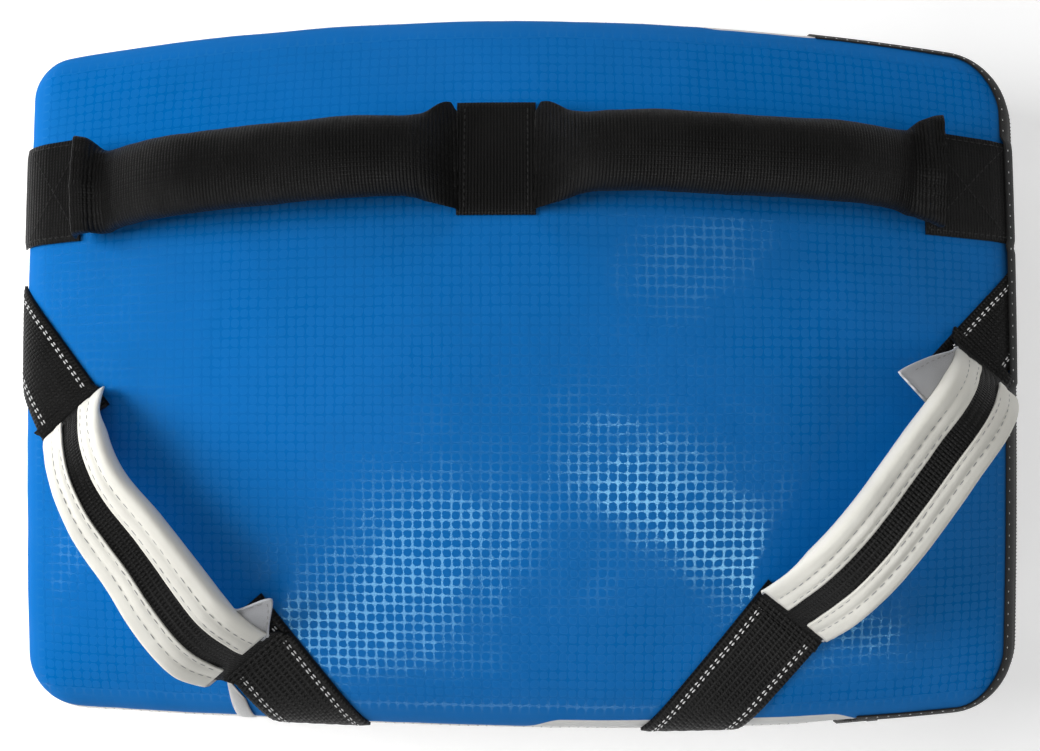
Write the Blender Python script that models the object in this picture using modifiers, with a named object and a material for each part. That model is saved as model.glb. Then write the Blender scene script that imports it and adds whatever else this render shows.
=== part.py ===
# Kick pad: a landscape kick shield lying on its striking face, with the holder's side up.
# Metres. +X points to the pad's zip end, +Y to its top edge and +Z out of its back.

import math

import bmesh
import bpy
from mathutils import Vector

# Cover, measured along its back seam before the filling bows it out
PAD_LENGTH = 0.608
PAD_WIDTH = 0.400
TOP_BOW = 0.0245
BOTTOM_BOW = 0.0113
BOTTOM_BOW_SKEW = 0.5
END_BOW = 0.0035
END_TAPER = 0.0018
TOP_LEFT_RADIUS = 0.024
TOP_RIGHT_RADIUS = 0.036
BOTTOM_LEFT_RADIUS = 0.032
BOTTOM_RIGHT_RADIUS = 0.036

# Heights above the floor, and the crown of the back
BACK_SEAM_HEIGHT = 0.092
BACK_SEAM_RISE = 0.010
FRONT_SEAM_HEIGHT = 0.008
FRONT_EDGE_WIDTH = 0.012
FRONT_SEAM_GAP = 0.0010
EDGE_ROLL_WIDTH = 0.020
EDGE_ROLL_HEIGHT = 0.014
CROWN_HEIGHT = 0.031
CROWN_POWER_LENGTH = 2.4
CROWN_POWER_WIDTH = 2.6
WALL_BULGE = 0.007
ZIP_END_BULGE = 0.004
ZIP_PINCH = 0.0065
ZIP_PINCH_LENGTH = 0.035
BULGE_POWER = 0.7

# Sheets, and the room left between touching pieces
VINYL_THICKNESS = 0.0016
WEBBING_THICKNESS = 0.0020
GAP = 0.00035
FOAM_GAP = 0.0008
SEAM_INSET = 0.0004
CORE_FRONT_THICKNESS = 0.038
CORE_BACK_EDGE = 0.0067

# Zip round the right end
ZIP_TOP_REACH = 0.123
ZIP_BOTTOM_REACH = 0.100
WALL_JOINT_INSET = 0.1925
TAPE_LAP = 0.004
TAPE_END_INSET = 0.0015
TAPE_BEND = 0.004
TAPE_THICKNESS = 0.0008
ZIP_LINE_DEPTH = 0.015
ZIP_WALL_DEPTH = 0.024
ZIP_WALL_LAP = 0.006
COIL_WIDTH = 0.0026
COIL_HEIGHT = 0.0016
STOP_LENGTH = 0.005
STOP_HEIGHT = 0.0019
STOP_INSET = 0.002

# Zip slider and its pull
SLIDER_LENGTH = 0.012
SLIDER_PLATE = 0.0008
SLIDER_FLANGE = 0.0011
SLIDER_CLEARANCE = 0.00045
SLIDER_PARK = 0.004
BRIDGE_LENGTH = 0.0070
BRIDGE_WIDTH = 0.0020
BRIDGE_HEIGHT = 0.0021
BRIDGE_BAR = 0.0007
PULL_LENGTH = 0.024
PULL_WIDTH = 0.0070
PULL_THICKNESS = 0.0009
PULL_WINDOW = 0.0062
PULL_EDGE = 0.0005
PULL_CLEARANCE = 0.0004
CUT_SPARE = 0.002

# Forearm strap along the top
STRAP_WIDTH = 0.070
STRAP_LINE_INSET = 0.086
LEFT_PATCH_LENGTH = 0.051
CENTRE_PATCH_OFFSET = -0.014
CENTRE_PATCH_LENGTH = 0.044
RIGHT_PATCH_LENGTH = 0.0634
LOOP_WIDTH = 0.046
LOOP_THICKNESS = 0.024
LOOP_RAISE = 0.033
LOOP_LEAN = 0.08
LOOP_SQUARENESS = 4.0
LOOP_CUT = 0.09
LOOP_WRAP = math.radians(26.0)
LINING_THICKNESS = 0.0012

# Hand grips on the two diagonal straps
GRIP_STRAP_WIDTH = 0.050
GRIP_WIDTH = 0.047
LEFT_GRIP_RAISE = 0.043
RIGHT_GRIP_RAISE = 0.054
LEFT_GRIP_LEAN = 0.0
RIGHT_GRIP_LEAN = 0.2
GRIP_SQUARENESS = 3.6
GRIP_CUT = 0.05
GRIP_FOAM_THICKNESS = 0.006
GRIP_FOAM_WIDTH = 0.042
GRIP_FOAM_EDGE = 0.002
GRIP_FOAM_MARGIN = 0.08
GRIP_FOAM_TAPER = 0.10
SLEEVE_THICKNESS = 0.0014
SLEEVE_STRIPE = 0.015
SLEEVE_CORNER = 0.0016
LEFT_UPPER_TUCK = 0.008
LEFT_LOWER_TUCK = 0.023
RIGHT_UPPER_TUCK = 0.038
RIGHT_LOWER_TUCK = 0.008
FOOT_TOE = 0.012

# Diagonal straps: how far from the pad's top or ends they meet the back seam, and their
# lengths and headings up to the grips
LEFT_UPPER_SEAM_INSET = 0.169
LEFT_UPPER_LENGTH = 0.0642
LEFT_UPPER_HEADING = math.radians(-56.2)
LEFT_LOWER_SEAM_INSET = 0.1842
LEFT_LOWER_LENGTH = 0.0565
LEFT_LOWER_HEADING = math.radians(129.9)
RIGHT_UPPER_SEAM_INSET = 0.153
RIGHT_UPPER_LENGTH = 0.0477
RIGHT_UPPER_HEADING = math.radians(-130.8)
RIGHT_LOWER_SEAM_INSET = 0.2014
RIGHT_LOWER_LENGTH = 0.0858
RIGHT_LOWER_HEADING = math.radians(49.2)

# Share of its width that a strap keeps where it runs down over the pad's edge
UPPER_ANCHOR_TAPER = 0.74
LOWER_ANCHOR_TAPER = 0.92
STRAP_END_TAPER = 0.95

# Care tag at the left grip's lower end
TAG_WIDTH = 0.011
TAG_THICKNESS = 0.0006
TAG_SEAM_INSET = 0.0010
TAG_ALONG_ANCHOR = 0.0565
TAG_SLANT = 0.004
TAG_EASE = 0.7

# Fineness of the surfaces
RIM_STEP = 0.055
CORNER_STEPS = 5
SLOPE_STEP = 0.0004
PLAN_STEP = 0.0005
EDGE_INSETS = (0.0, 0.075, 0.25, 0.55, 1.0)
CROWN_RINGS = (0.86, 0.70, 0.52, 0.33, 0.15)
WALL_SHARES = (0.0, 0.24, 0.53, 0.82, 1.0)
ZIP_WALL_SHARES = (0.25, 0.6, 1.0)
FRONT_EDGE_SHARES = (0.0, 0.12, 0.4, 1.0)
STATION_LEAST = 0.004
STRAP_LANES = 9
LOOP_STATIONS = 14
GRIP_STATIONS = 16
RISER_STATIONS = 5

# Colour, roughness and metallic value of each material
MATERIALS = {
    "blue_vinyl": ((0.0, 0.13, 0.52), 0.28, 0.0),
    "white_vinyl": ((0.76, 0.75, 0.68), 0.42, 0.0),
    "black_webbing": ((0.008, 0.008, 0.009), 0.62, 0.0),
    "lining_cloth": ((0.012, 0.012, 0.013), 0.80, 0.0),
    "foam": ((0.30, 0.31, 0.33), 0.90, 0.0),
    "zip_tape": ((0.010, 0.010, 0.011), 0.75, 0.0),
    "zip_coil": ((0.16, 0.16, 0.17), 0.45, 0.0),
    "zip_metal": ((0.05, 0.05, 0.055), 0.35, 1.0),
    "white_satin": ((0.85, 0.85, 0.86), 0.35, 0.0),
}

HALF_LENGTH = PAD_LENGTH / 2
HALF_WIDTH = PAD_WIDTH / 2
ZIP_TOP_X = HALF_LENGTH - ZIP_TOP_REACH
ZIP_BOTTOM_X = HALF_LENGTH - ZIP_BOTTOM_REACH
WALL_JOINT_X = HALF_LENGTH - WALL_JOINT_INSET
STRAP_LINE_Y = HALF_WIDTH - STRAP_LINE_INSET
FOOT_LIFT = GAP + WEBBING_THICKNESS + GAP


def clear_scene():
    """Remove the objects of the start-up scene."""
    for item in list(bpy.data.objects):
        bpy.data.objects.remove(item, do_unlink=True)


def new_collection(name):
    """Make a collection in the scene."""
    group = bpy.data.collections.new(name)
    bpy.context.scene.collection.children.link(group)
    return group


def new_material(name):
    """Make one Principled BSDF material from the table."""
    colour, roughness, metallic = MATERIALS[name]
    made = bpy.data.materials.new(name)
    made.use_nodes = True
    shader = made.node_tree.nodes["Principled BSDF"]
    shader.inputs["Base Color"].default_value = (*colour, 1.0)
    shader.inputs["Roughness"].default_value = roughness
    shader.inputs["Metallic"].default_value = metallic
    made.diffuse_color = (*colour, 1.0)
    return made


clear_scene()
PAD = new_collection("kick_pad")
CUTTERS = new_collection("kick_pad_cutters")
FINISHES = {name: new_material(name) for name in MATERIALS}


def new_object(name, points, faces, finish, origin=None):
    """Make an object from world points and faces, with its origin where asked."""
    origin = origin or Vector((0.0, 0.0, 0.0))
    mesh = bpy.data.meshes.new(name)
    mesh.from_pydata([Vector(point) - origin for point in points], [], faces)
    mesh.materials.append(FINISHES[finish])
    made = bpy.data.objects.new(name, mesh)
    made.location = origin
    PAD.objects.link(made)
    return made


def band(points, faces, first, second, count, closed):
    """Add the faces between two rows of points, each square split on its shorter diagonal."""
    for j in range(count if closed else count - 1):
        k = (j + 1) % count
        a, b, c, d = first + j, second + j, second + k, first + k
        if (points[a] - points[c]).length <= (points[b] - points[d]).length:
            faces += [(a, b, c), (a, c, d)]
        else:
            faces += [(a, b, d), (b, c, d)]


def face_outwards(made):
    """Turn the faces of a closed mesh outwards and shade its round sides smooth."""
    work = bmesh.new()
    work.from_mesh(made.data)
    bmesh.ops.recalc_face_normals(work, faces=work.faces)
    work.to_mesh(made.data)
    work.free()
    made.data.shade_smooth()
    made.data.set_sharp_from_angle(angle=math.radians(40))


def tell_joint(name, place, axis):
    """Print where a joint is and along what line, for the record."""
    print("joint", name, *(f"{value:.6f}" for value in (*place, *axis)))


def drop_loose_points(made):
    """Remove the points that no face uses."""
    work = bmesh.new()
    work.from_mesh(made.data)
    loose = [point for point in work.verts if not point.link_faces]
    bmesh.ops.delete(work, geom=loose, context="VERTS")
    work.to_mesh(made.data)
    work.free()


def sheet(name, rows, thickness, finish, side=-1, closed=False, cap=None, opening=None):
    """Make a sheet from rows of points and give it a thickness on one side of its surface."""
    points = [point for row in rows for point in row]
    count = len(rows[0])
    faces = []
    for i in range(len(rows) - 1):
        kept = count
        if opening and i < opening[0]:
            kept = opening[1] + 1
        band(points, faces, i * count, (i + 1) * count, kept, closed)
    if cap == "first":
        faces.append(tuple(range(count)))
    if cap == "last":
        faces.append(tuple((len(rows) - 1) * count + j for j in reversed(range(count))))
    made = new_object(name, points, faces, finish)
    drop_loose_points(made)
    made.data.shade_smooth()
    solid = made.modifiers.new("thickness", "SOLIDIFY")
    solid.thickness = thickness
    solid.offset = side
    return made


def loft(name, rings, finish, origin=None):
    """Make a closed solid through rings of points, capped at both ends."""
    points = [point for ring in rings for point in ring]
    count = len(rings[0])
    faces = []
    for i in range(len(rings) - 1):
        band(points, faces, i * count, (i + 1) * count, count, True)
    faces.append(tuple(range(count)))
    faces.append(tuple((len(rings) - 1) * count + j for j in range(count)))
    made = new_object(name, points, faces, finish, origin)
    face_outwards(made)
    return made


def corner_radius(x, y):
    """Radius of the corner in the quarter of the pad that holds a point."""
    if x >= 0:
        return TOP_RIGHT_RADIUS if y >= 0 else BOTTOM_RIGHT_RADIUS
    return TOP_LEFT_RADIUS if y >= 0 else BOTTOM_LEFT_RADIUS


def seam_runs():
    """Straight runs and corner arcs of the seam, anticlockwise from the right end's middle."""
    runs = []
    here = Vector((HALF_LENGTH, 0.0))
    for number, (across, up) in enumerate(((1, 1), (-1, 1), (-1, -1), (1, -1))):
        radius = corner_radius(across, up)
        centre = Vector((across * (HALF_LENGTH - radius), up * (HALF_WIDTH - radius)))
        start = number * math.pi / 2
        corner = centre + radius * Vector((math.cos(start), math.sin(start)))
        runs.append(("line", (corner - here).length, here, corner, start))
        runs.append(("arc", radius * math.pi / 2, centre, radius, start))
        here = centre + radius * Vector((math.cos(start + math.pi / 2), math.sin(start + math.pi / 2)))
    end = Vector((HALF_LENGTH, 0.0))
    runs.append(("line", (end - here).length, here, end, 0.0))
    return runs


SEAM_RUNS = seam_runs()
SEAM_LENGTH = sum(run[1] for run in SEAM_RUNS)


def seam(s):
    """Point and outward direction at a distance s along the seam, as the panel is cut."""
    s = s % SEAM_LENGTH
    for kind, length, first, second, angle in SEAM_RUNS:
        if s <= length:
            break
        s -= length
    if kind == "line":
        return first.lerp(second, min(s / length, 1.0)), Vector((math.cos(angle), math.sin(angle)))
    turn = angle + s / second
    outward = Vector((math.cos(turn), math.sin(turn)))
    return first + second * outward, outward


def seam_distance_on_long_side(x, up):
    """Distance along the seam to the point at x on the top or the bottom side."""
    if up:
        return sum(run[1] for run in SEAM_RUNS[:2]) + (HALF_LENGTH - TOP_RIGHT_RADIUS - x)
    return sum(run[1] for run in SEAM_RUNS[:6]) + (x + HALF_LENGTH - BOTTOM_LEFT_RADIUS)


ZIP_START = seam_distance_on_long_side(ZIP_BOTTOM_X, False) - SEAM_LENGTH
ZIP_END = seam_distance_on_long_side(ZIP_TOP_X, True)
WALL_JOINT = seam_distance_on_long_side(WALL_JOINT_X, False)
CORNER_BEFORE_ZIP_END = seam_distance_on_long_side(HALF_LENGTH - BOTTOM_RIGHT_RADIUS, False) - SEAM_LENGTH


def seam_stations(start, end, extra=()):
    """Distances along the seam between two places, close together round the corners."""
    marks = []
    total = 0.0
    for kind, length, *rest in SEAM_RUNS:
        steps = CORNER_STEPS if kind == "arc" else max(1, math.ceil(length / RIM_STEP))
        marks += [total + length * step / steps for step in range(steps)]
        total += length
    marks += [ZIP_START + SEAM_LENGTH, ZIP_END, WALL_JOINT]
    spread = [mark + turn * SEAM_LENGTH for mark in marks for turn in (-1, 0, 1)]
    inside = [mark for mark in spread if start + STATION_LEAST < mark < end - STATION_LEAST]
    kept = sorted([start, end, *extra])
    for mark in sorted(inside):
        if all(abs(mark - other) > STATION_LEAST for other in kept):
            kept.append(mark)
    return sorted(kept)


def inset_from_seam(x, y):
    """Distance of a point of the cut panel from its seam."""
    radius = corner_radius(x, y)
    over_x = abs(x) - HALF_LENGTH + radius
    over_y = abs(y) - HALF_WIDTH + radius
    outside = math.hypot(max(over_x, 0.0), max(over_y, 0.0))
    return radius - outside - min(max(over_x, over_y), 0.0)


def bowed(x, y):
    """Where the filling pushes a point of the cut panel to."""
    along = x / HALF_LENGTH
    across = y / HALF_WIDTH
    bow = TOP_BOW if y > 0 else BOTTOM_BOW * (1 + BOTTOM_BOW_SKEW * along)
    end = END_BOW * (1 - across ** 2) + END_TAPER * across
    return x + end * along, y + bow * across * (1 - along ** 2)


def back_height(x, y):
    """Height of the back panel over a point of the cut panel."""
    along = min(abs(x) / HALF_LENGTH, 1.0)
    across = min(abs(y) / HALF_WIDTH, 1.0)
    inset = min(max(inset_from_seam(x, y), 0.0), EDGE_ROLL_WIDTH) / EDGE_ROLL_WIDTH
    roll = math.sqrt(1 - (1 - inset) ** 2)
    crown = (1 - along ** CROWN_POWER_LENGTH) * (1 - across ** CROWN_POWER_WIDTH)
    rise = BACK_SEAM_RISE * (1 - along ** 2)
    return BACK_SEAM_HEIGHT + rise + EDGE_ROLL_HEIGHT * roll + CROWN_HEIGHT * crown


def back_surface(x, y):
    """Point of the back panel's outer surface over a point of the cut panel."""
    return Vector((*bowed(x, y), back_height(x, y)))


def back_normal(x, y):
    """Outward direction of the back panel."""
    step = SLOPE_STEP / 2
    along = back_surface(x + step, y) - back_surface(x - step, y)
    across = back_surface(x, y + step) - back_surface(x, y - step)
    return along.cross(across).normalized()


def on_back(x, y, lift):
    """Point at a height above the back panel."""
    return back_surface(x, y) + back_normal(x, y) * lift


def wall_height(s):
    """Height of the side wall between its two seams."""
    place, outward = seam(s)
    return back_height(*place) - FRONT_SEAM_HEIGHT


def wall_swell(s, depth):
    """How far the side wall stands out at a depth below the back seam."""
    place, outward = seam(s)
    bulge = WALL_BULGE + ZIP_END_BULGE * max(outward.x, 0.0) ** 2
    past = min(max((place.x - ZIP_BOTTOM_X) / ZIP_PINCH_LENGTH + 1, 0.0), 1.0)
    bulge -= ZIP_PINCH * past * past * (3 - 2 * past) * max(-outward.y, 0.0) ** 2
    share = min(max(depth / wall_height(s), 0.0), 1.0)
    return bulge * math.sin(math.pi * share) ** BULGE_POWER


def outward_in_plan(s):
    """Outward direction of the bowed seam."""
    before = Vector(bowed(*seam(s - PLAN_STEP)[0]))
    after = Vector(bowed(*seam(s + PLAN_STEP)[0]))
    along = (after - before).normalized()
    return Vector((along.y, -along.x))


def wall_point(s, depth, inwards=0.0):
    """Point of the side wall at a depth below the back seam, or straight inwards from it."""
    place = Vector(bowed(*seam(s)[0])) + outward_in_plan(s) * (wall_swell(s, depth) - inwards)
    return Vector((place.x, place.y, back_height(*seam(s)[0]) - depth))


def cover_surface(s, depth):
    """Cover's outer surface: over the back for a negative depth, down the wall for a positive one."""
    if depth > 0:
        return wall_point(s, depth)
    place, outward = seam(s)
    return back_surface(*(place + outward * depth))


def cover_point(s, depth, lift):
    """Point at a height above the cover's outer surface."""
    step = SLOPE_STEP
    down = cover_surface(s, depth + step) - cover_surface(s, depth - step)
    round_it = cover_surface(s + step, depth) - cover_surface(s - step, depth)
    return cover_surface(s, depth) + down.cross(round_it).normalized() * lift


def cover_frame(s, depth):
    """Directions along the seam, down the wall and outwards."""
    step = SLOPE_STEP
    along = (cover_surface(s + step, depth) - cover_surface(s - step, depth)).normalized()
    down = cover_surface(s, depth + step) - cover_surface(s, depth - step)
    outward = down.cross(along).normalized()
    return along, along.cross(outward).normalized(), outward


def back_rings(lower):
    """Rings of points from the middle of the back to its seam, lowered along the normal."""
    stations = seam_stations(0.0, SEAM_LENGTH)[:-1]
    roll = min(EDGE_ROLL_WIDTH, 0.9 * min(corner_radius(x, y) for x in (-1, 1) for y in (-1, 1)))
    rings = []
    for share in reversed(CROWN_RINGS):
        ring = []
        for s in stations:
            place, outward = seam(s)
            ring.append(on_back(*((place - outward * roll) * share), -lower))
        rings.append(ring)
    for share in reversed(EDGE_INSETS):
        ring = []
        for s in stations:
            place, outward = seam(s)
            ring.append(on_back(*(place - outward * max(roll * share, 1e-5)), -lower))
        rings.append(ring)
    return rings


def make_back_panel():
    """Crowned vinyl back, from its middle to the back seam."""
    sheet("back_panel", back_rings(0.0), VINYL_THICKNESS, "blue_vinyl", closed=True, cap="first")


def make_front_panel():
    """Flat striking face with an edge that turns up to the front seam."""
    stations = seam_stations(0.0, SEAM_LENGTH)[:-1]
    rows = []
    for share in FRONT_EDGE_SHARES:
        inset = FRONT_EDGE_WIDTH * share
        height = (FRONT_SEAM_HEIGHT - FRONT_SEAM_GAP) * (1 - math.sqrt(1 - (1 - share) ** 2))
        rows.append([Vector((*bowed(*(seam(s)[0] - seam(s)[1] * inset)), height)) for s in stations])
    sheet("front_panel", rows, VINYL_THICKNESS, "white_vinyl", closed=True, cap="last")


def wall_rows(stations, depths, bottom_shares):
    """Rows of points down the side wall, at set depths first and then at shares of what is left."""
    rows = [[wall_point(s, depth) for s in stations] for depth in depths]
    for share in bottom_shares:
        row = []
        for s in stations:
            row.append(wall_point(s, depths[-1] + (wall_height(s) - depths[-1]) * share))
        rows.append(row)
    return rows


def make_side_walls():
    """Plain wall round the left, and the wall of the zip end, which is lower under the zip."""
    depths = (GAP, *(ZIP_WALL_DEPTH * share for share in ZIP_WALL_SHARES))
    shares = WALL_SHARES[1:]
    main = seam_stations(ZIP_END + GAP / 2, WALL_JOINT - GAP / 2)
    sheet("side_wall_main", wall_rows(main, depths, shares), VINYL_THICKNESS, "white_vinyl")
    joint = WALL_JOINT + GAP / 2 - SEAM_LENGTH
    zip_end = seam_stations(joint, ZIP_END - GAP / 2, extra=(ZIP_START,))
    rows = wall_rows(zip_end, depths, shares)
    open_from = zip_end.index(ZIP_START)
    sheet("side_wall_zip_end", rows, VINYL_THICKNESS, "white_vinyl", opening=(len(depths) - 1, open_from))


def core_ring(stations, height):
    """Ring just inside the side wall at a height above the floor."""
    inwards = VINYL_THICKNESS + FOAM_GAP
    return [wall_point(s, back_height(*seam(s)[0]) - height, inwards) for s in stations]


def make_cores():
    """Dense front board, middle slab and crowned back foam."""
    stations = seam_stations(0.0, SEAM_LENGTH)[:-1]
    front_low = VINYL_THICKNESS + GAP
    front_high = front_low + CORE_FRONT_THICKNESS
    middle_low = front_high + GAP
    middle_high = BACK_SEAM_HEIGHT - CORE_BACK_EDGE
    back_low = middle_high + GAP
    inwards = VINYL_THICKNESS + FOAM_GAP
    foot = []
    knee = []
    for s in stations:
        place, outward = seam(s)
        foot.append(Vector((*bowed(*(place - outward * FRONT_EDGE_WIDTH)), front_low)))
        depth = ZIP_WALL_DEPTH + (wall_height(s) - ZIP_WALL_DEPTH) * WALL_SHARES[-2]
        knee.append(wall_point(s, depth, inwards))
    loft("core_front_layer", [foot, knee, core_ring(stations, front_high)], "foam")
    middle_heights = (middle_low, (middle_low + middle_high) / 2, middle_high)
    loft("core_middle_layer", [core_ring(stations, height) for height in middle_heights], "foam")
    crown = list(reversed(back_rings(inwards)))
    loft("core_back_layer", [core_ring(stations, back_low), *crown], "foam")


def zip_stations(inset):
    """Places along the zip, ending a little inside both its ends."""
    return seam_stations(ZIP_START + inset, ZIP_END - inset)


def make_zip_tapes():
    """Tape lapped over the back panel's edge, and tape lapped over the wall under the zip."""
    half_chain = COIL_WIDTH + GAP / 2 + GAP
    stations = zip_stations(TAPE_END_INSET)
    lap = -min(TAPE_LAP, EDGE_ROLL_WIDTH * EDGE_INSETS[2])
    upper = (lap, -EDGE_ROLL_WIDTH * EDGE_INSETS[1], 0.0, TAPE_BEND, ZIP_LINE_DEPTH - half_chain)
    lower = (ZIP_LINE_DEPTH + half_chain, ZIP_WALL_DEPTH, ZIP_WALL_DEPTH + ZIP_WALL_LAP)
    for name, depths in (("zipper_tape_panel_side", upper), ("zipper_tape_wall_side", lower)):
        rows = [[cover_point(s, depth, GAP) for s in stations] for depth in depths]
        sheet(name, rows, TAPE_THICKNESS, "zip_tape", side=1)


def make_zip_chain():
    """The two halves of the chain, each a low bead along the zip."""
    stations = zip_stations(STOP_INSET + STOP_LENGTH + GAP)
    sides = 8
    for name, side in (("zipper_coil_panel_side", -1), ("zipper_coil_wall_side", 1)):
        middle = ZIP_LINE_DEPTH + side * (COIL_WIDTH + GAP) / 2
        rings = []
        for s in stations:
            ring = []
            for number in range(sides):
                turn = 2 * math.pi * (number + 0.5) / sides
                depth = middle + COIL_WIDTH / 2 * math.cos(turn)
                ring.append(cover_point(s, depth, GAP + COIL_HEIGHT / 2 * (1 + math.sin(turn))))
            rings.append(ring)
        loft(name, rings, "zip_coil")


def block(name, centre, axes, size, finish, origin=None):
    """Box with its sides along three given directions."""
    made = new_object(name, [], [], finish, origin)
    work = bmesh.new()
    bmesh.ops.create_cube(work, size=1.0)
    for corner in work.verts:
        offset = sum((axis * corner.co[i] * size[i] for i, axis in enumerate(axes)), Vector())
        corner.co = centre + offset - made.location
    work.normal_update()
    bmesh.ops.recalc_face_normals(work, faces=work.faces)
    work.to_mesh(made.data)
    work.free()
    return made


def make_zip_stops():
    """Blocks that close the two ends of the chain."""
    width = 2 * (COIL_WIDTH + GAP / 2)
    half = STOP_INSET + STOP_LENGTH / 2
    for name, s in (("zipper_end_stop_upper", ZIP_END - half), ("zipper_end_stop_lower", ZIP_START + half)):
        along, down, outward = cover_frame(s, ZIP_LINE_DEPTH)
        centre = cover_point(s, ZIP_LINE_DEPTH, GAP + STOP_HEIGHT / 2)
        block(name, centre, (along, down, outward), (STOP_LENGTH, width, STOP_HEIGHT), "zip_metal")


def cut_with(made, centre, axes, size):
    """Cut a box out of an object."""
    cutter = block(made.name + "_cutter_" + str(len(made.modifiers)), centre, axes, size, "zip_metal")
    PAD.objects.unlink(cutter)
    CUTTERS.objects.link(cutter)
    cutter.hide_render = True
    cutter.display_type = "WIRE"
    cut = made.modifiers.new("cut", "BOOLEAN")
    cut.operation = "DIFFERENCE"
    cut.object = cutter


def make_slider_and_pull():
    """Slider that rides over the chain, and the pull held under its bridge."""
    park = ZIP_START + STOP_INSET + STOP_LENGTH + SLIDER_PARK + SLIDER_LENGTH / 2
    travel = CORNER_BEFORE_ZIP_END - park - SLIDER_LENGTH / 2
    start = cover_surface(park, ZIP_LINE_DEPTH)
    end = cover_surface(park + travel, ZIP_LINE_DEPTH)
    along = (end - start).normalized()
    outward = cover_frame(park + travel / 2, ZIP_LINE_DEPTH)[2]
    outward = (outward - along * outward.dot(along)).normalized()
    down = along.cross(outward)
    axes = (along, down, outward)
    half_width = COIL_WIDTH + GAP / 2 + SLIDER_CLEARANCE + SLIDER_FLANGE
    low = GAP + TAPE_THICKNESS + SLIDER_CLEARANCE
    under_plate = GAP + COIL_HEIGHT + SLIDER_CLEARANCE
    plate_top = under_plate + SLIDER_PLATE
    bridge_top = plate_top + BRIDGE_HEIGHT

    def box(made, x, z_low, z_high, length, width):
        centre = start + along * x + outward * (z_low + z_high) / 2
        cut_with(made, centre, axes, (length, width, z_high - z_low))

    middle = start + outward * (low + bridge_top) / 2
    size = (SLIDER_LENGTH, 2 * half_width, bridge_top - low)
    slider = block("zipper_slider", middle, axes, size, "zip_metal", origin=start)
    channel = 2 * (half_width - SLIDER_FLANGE)
    box(slider, 0.0, low - CUT_SPARE, under_plate, SLIDER_LENGTH + CUT_SPARE, channel)
    beside = half_width - BRIDGE_WIDTH / 2 + CUT_SPARE
    for side in (-1, 1):
        centre = start + down * side * (BRIDGE_WIDTH / 2 + beside / 2)
        centre += outward * (plate_top + bridge_top + CUT_SPARE) / 2
        cut_with(slider, centre, axes, (SLIDER_LENGTH + CUT_SPARE, beside, bridge_top + CUT_SPARE - plate_top))
    ahead = (SLIDER_LENGTH - BRIDGE_LENGTH) / 2 + CUT_SPARE
    for side in (-1, 1):
        x = side * (BRIDGE_LENGTH / 2 + ahead / 2)
        box(slider, x, plate_top, bridge_top + CUT_SPARE, ahead, BRIDGE_WIDTH + CUT_SPARE)
    tunnel = BRIDGE_LENGTH - 2 * BRIDGE_BAR
    box(slider, 0.0, plate_top, bridge_top - BRIDGE_BAR, tunnel, BRIDGE_WIDTH + CUT_SPARE)

    pivot = start + outward * (plate_top + (BRIDGE_HEIGHT - BRIDGE_BAR) / 2)
    pull_middle = pivot - along * (PULL_LENGTH / 2 - PULL_EDGE)
    pull_size = (PULL_LENGTH, PULL_WIDTH, PULL_THICKNESS)
    pull = block("zipper_pull", pull_middle, axes, pull_size, "zip_metal", origin=pivot)
    window_centre = pivot - along * (PULL_EDGE + PULL_WINDOW / 2)
    window = (PULL_WINDOW, BRIDGE_WIDTH + 2 * PULL_CLEARANCE, 3 * PULL_THICKNESS)
    cut_with(pull, window_centre, axes, window)
    print("zipper_slide travel", round(travel, 4))
    tell_joint("zipper_slide", start, along)
    tell_joint("zipper_pull_flip", pivot, -down)


def lanes(width):
    """Distances of a strap's lengthwise lines from its middle line."""
    return [width * (lane / (STRAP_LANES - 1) - 0.5) for lane in range(STRAP_LANES)]


def from_seam_rows(start, end, width, first_inset, steps, taper):
    """Rows of plan points of a flat strap, from the pad's seam to a square end."""
    heading = (end - start).normalized()
    aside = Vector((heading.y, -heading.x))
    tilt = back_normal(*((start + end) / 2)).dot(Vector((aside.x, aside.y, 0.0)))
    narrowing = math.sqrt(1 - tilt ** 2)
    insets = [EDGE_ROLL_WIDTH * share for share in EDGE_INSETS if EDGE_ROLL_WIDTH * share > first_inset]
    insets.insert(0, first_inset)
    columns = []
    for lane in lanes(width * narrowing):
        last = end + aside * lane
        far = last + (start + aside * lane * taper - last).normalized() * (2 * PAD_WIDTH)
        column = []
        for inset in insets:
            inside, outside = last, far
            for halving in range(40):
                guess = (inside + outside) / 2
                if inset_from_seam(*guess) > inset:
                    inside = guess
                else:
                    outside = guess
            column.append(inside)
        reach = (last - column[0]).length
        for number, inset in enumerate(insets):
            most = reach * 0.8 * number / len(insets)
            if (column[number] - column[0]).length > most:
                column[number] = column[0].lerp(last, most / reach)
        column += [column[len(insets) - 1].lerp(last, step / steps) for step in range(1, steps + 1)]
        columns.append(column)
    return [list(row) for row in zip(*columns)]


def flat_ring(row, low, high):
    """Closed section of a flat strap that lies on the back at a row of plan points."""
    under = [on_back(*place, low) for place in row]
    over = [on_back(*place, high) for place in reversed(row)]
    return under + over


class Arch:
    """Path that rises from the back, runs level and comes down again."""

    def __init__(self, start, end, lift, height, squareness, lean):
        self.start = on_back(*start, lift)
        self.end = on_back(*end, lift)
        self.height = height
        self.squareness = squareness
        self.lean = lean
        self.span = (self.end - self.start).length
        self.along = (self.end - self.start) / self.span
        up = back_normal(*start) + back_normal(*end)
        self.up = (up - self.along * up.dot(self.along)).normalized()
        self.aside = self.along.cross(self.up)

    def point(self, share, aside, up):
        """Point beside and above the path at a share of its span."""
        rise = self.height * (1 - abs(2 * share - 1) ** self.squareness)
        base = self.start.lerp(self.end, share)
        return base + self.aside * (aside + self.lean * rise) + self.up * (rise + up)

    def ring(self, share, section):
        """Section of sideways and upward pairs, placed square to the span."""
        return [self.point(share, aside, up) for aside, up in section]


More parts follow.
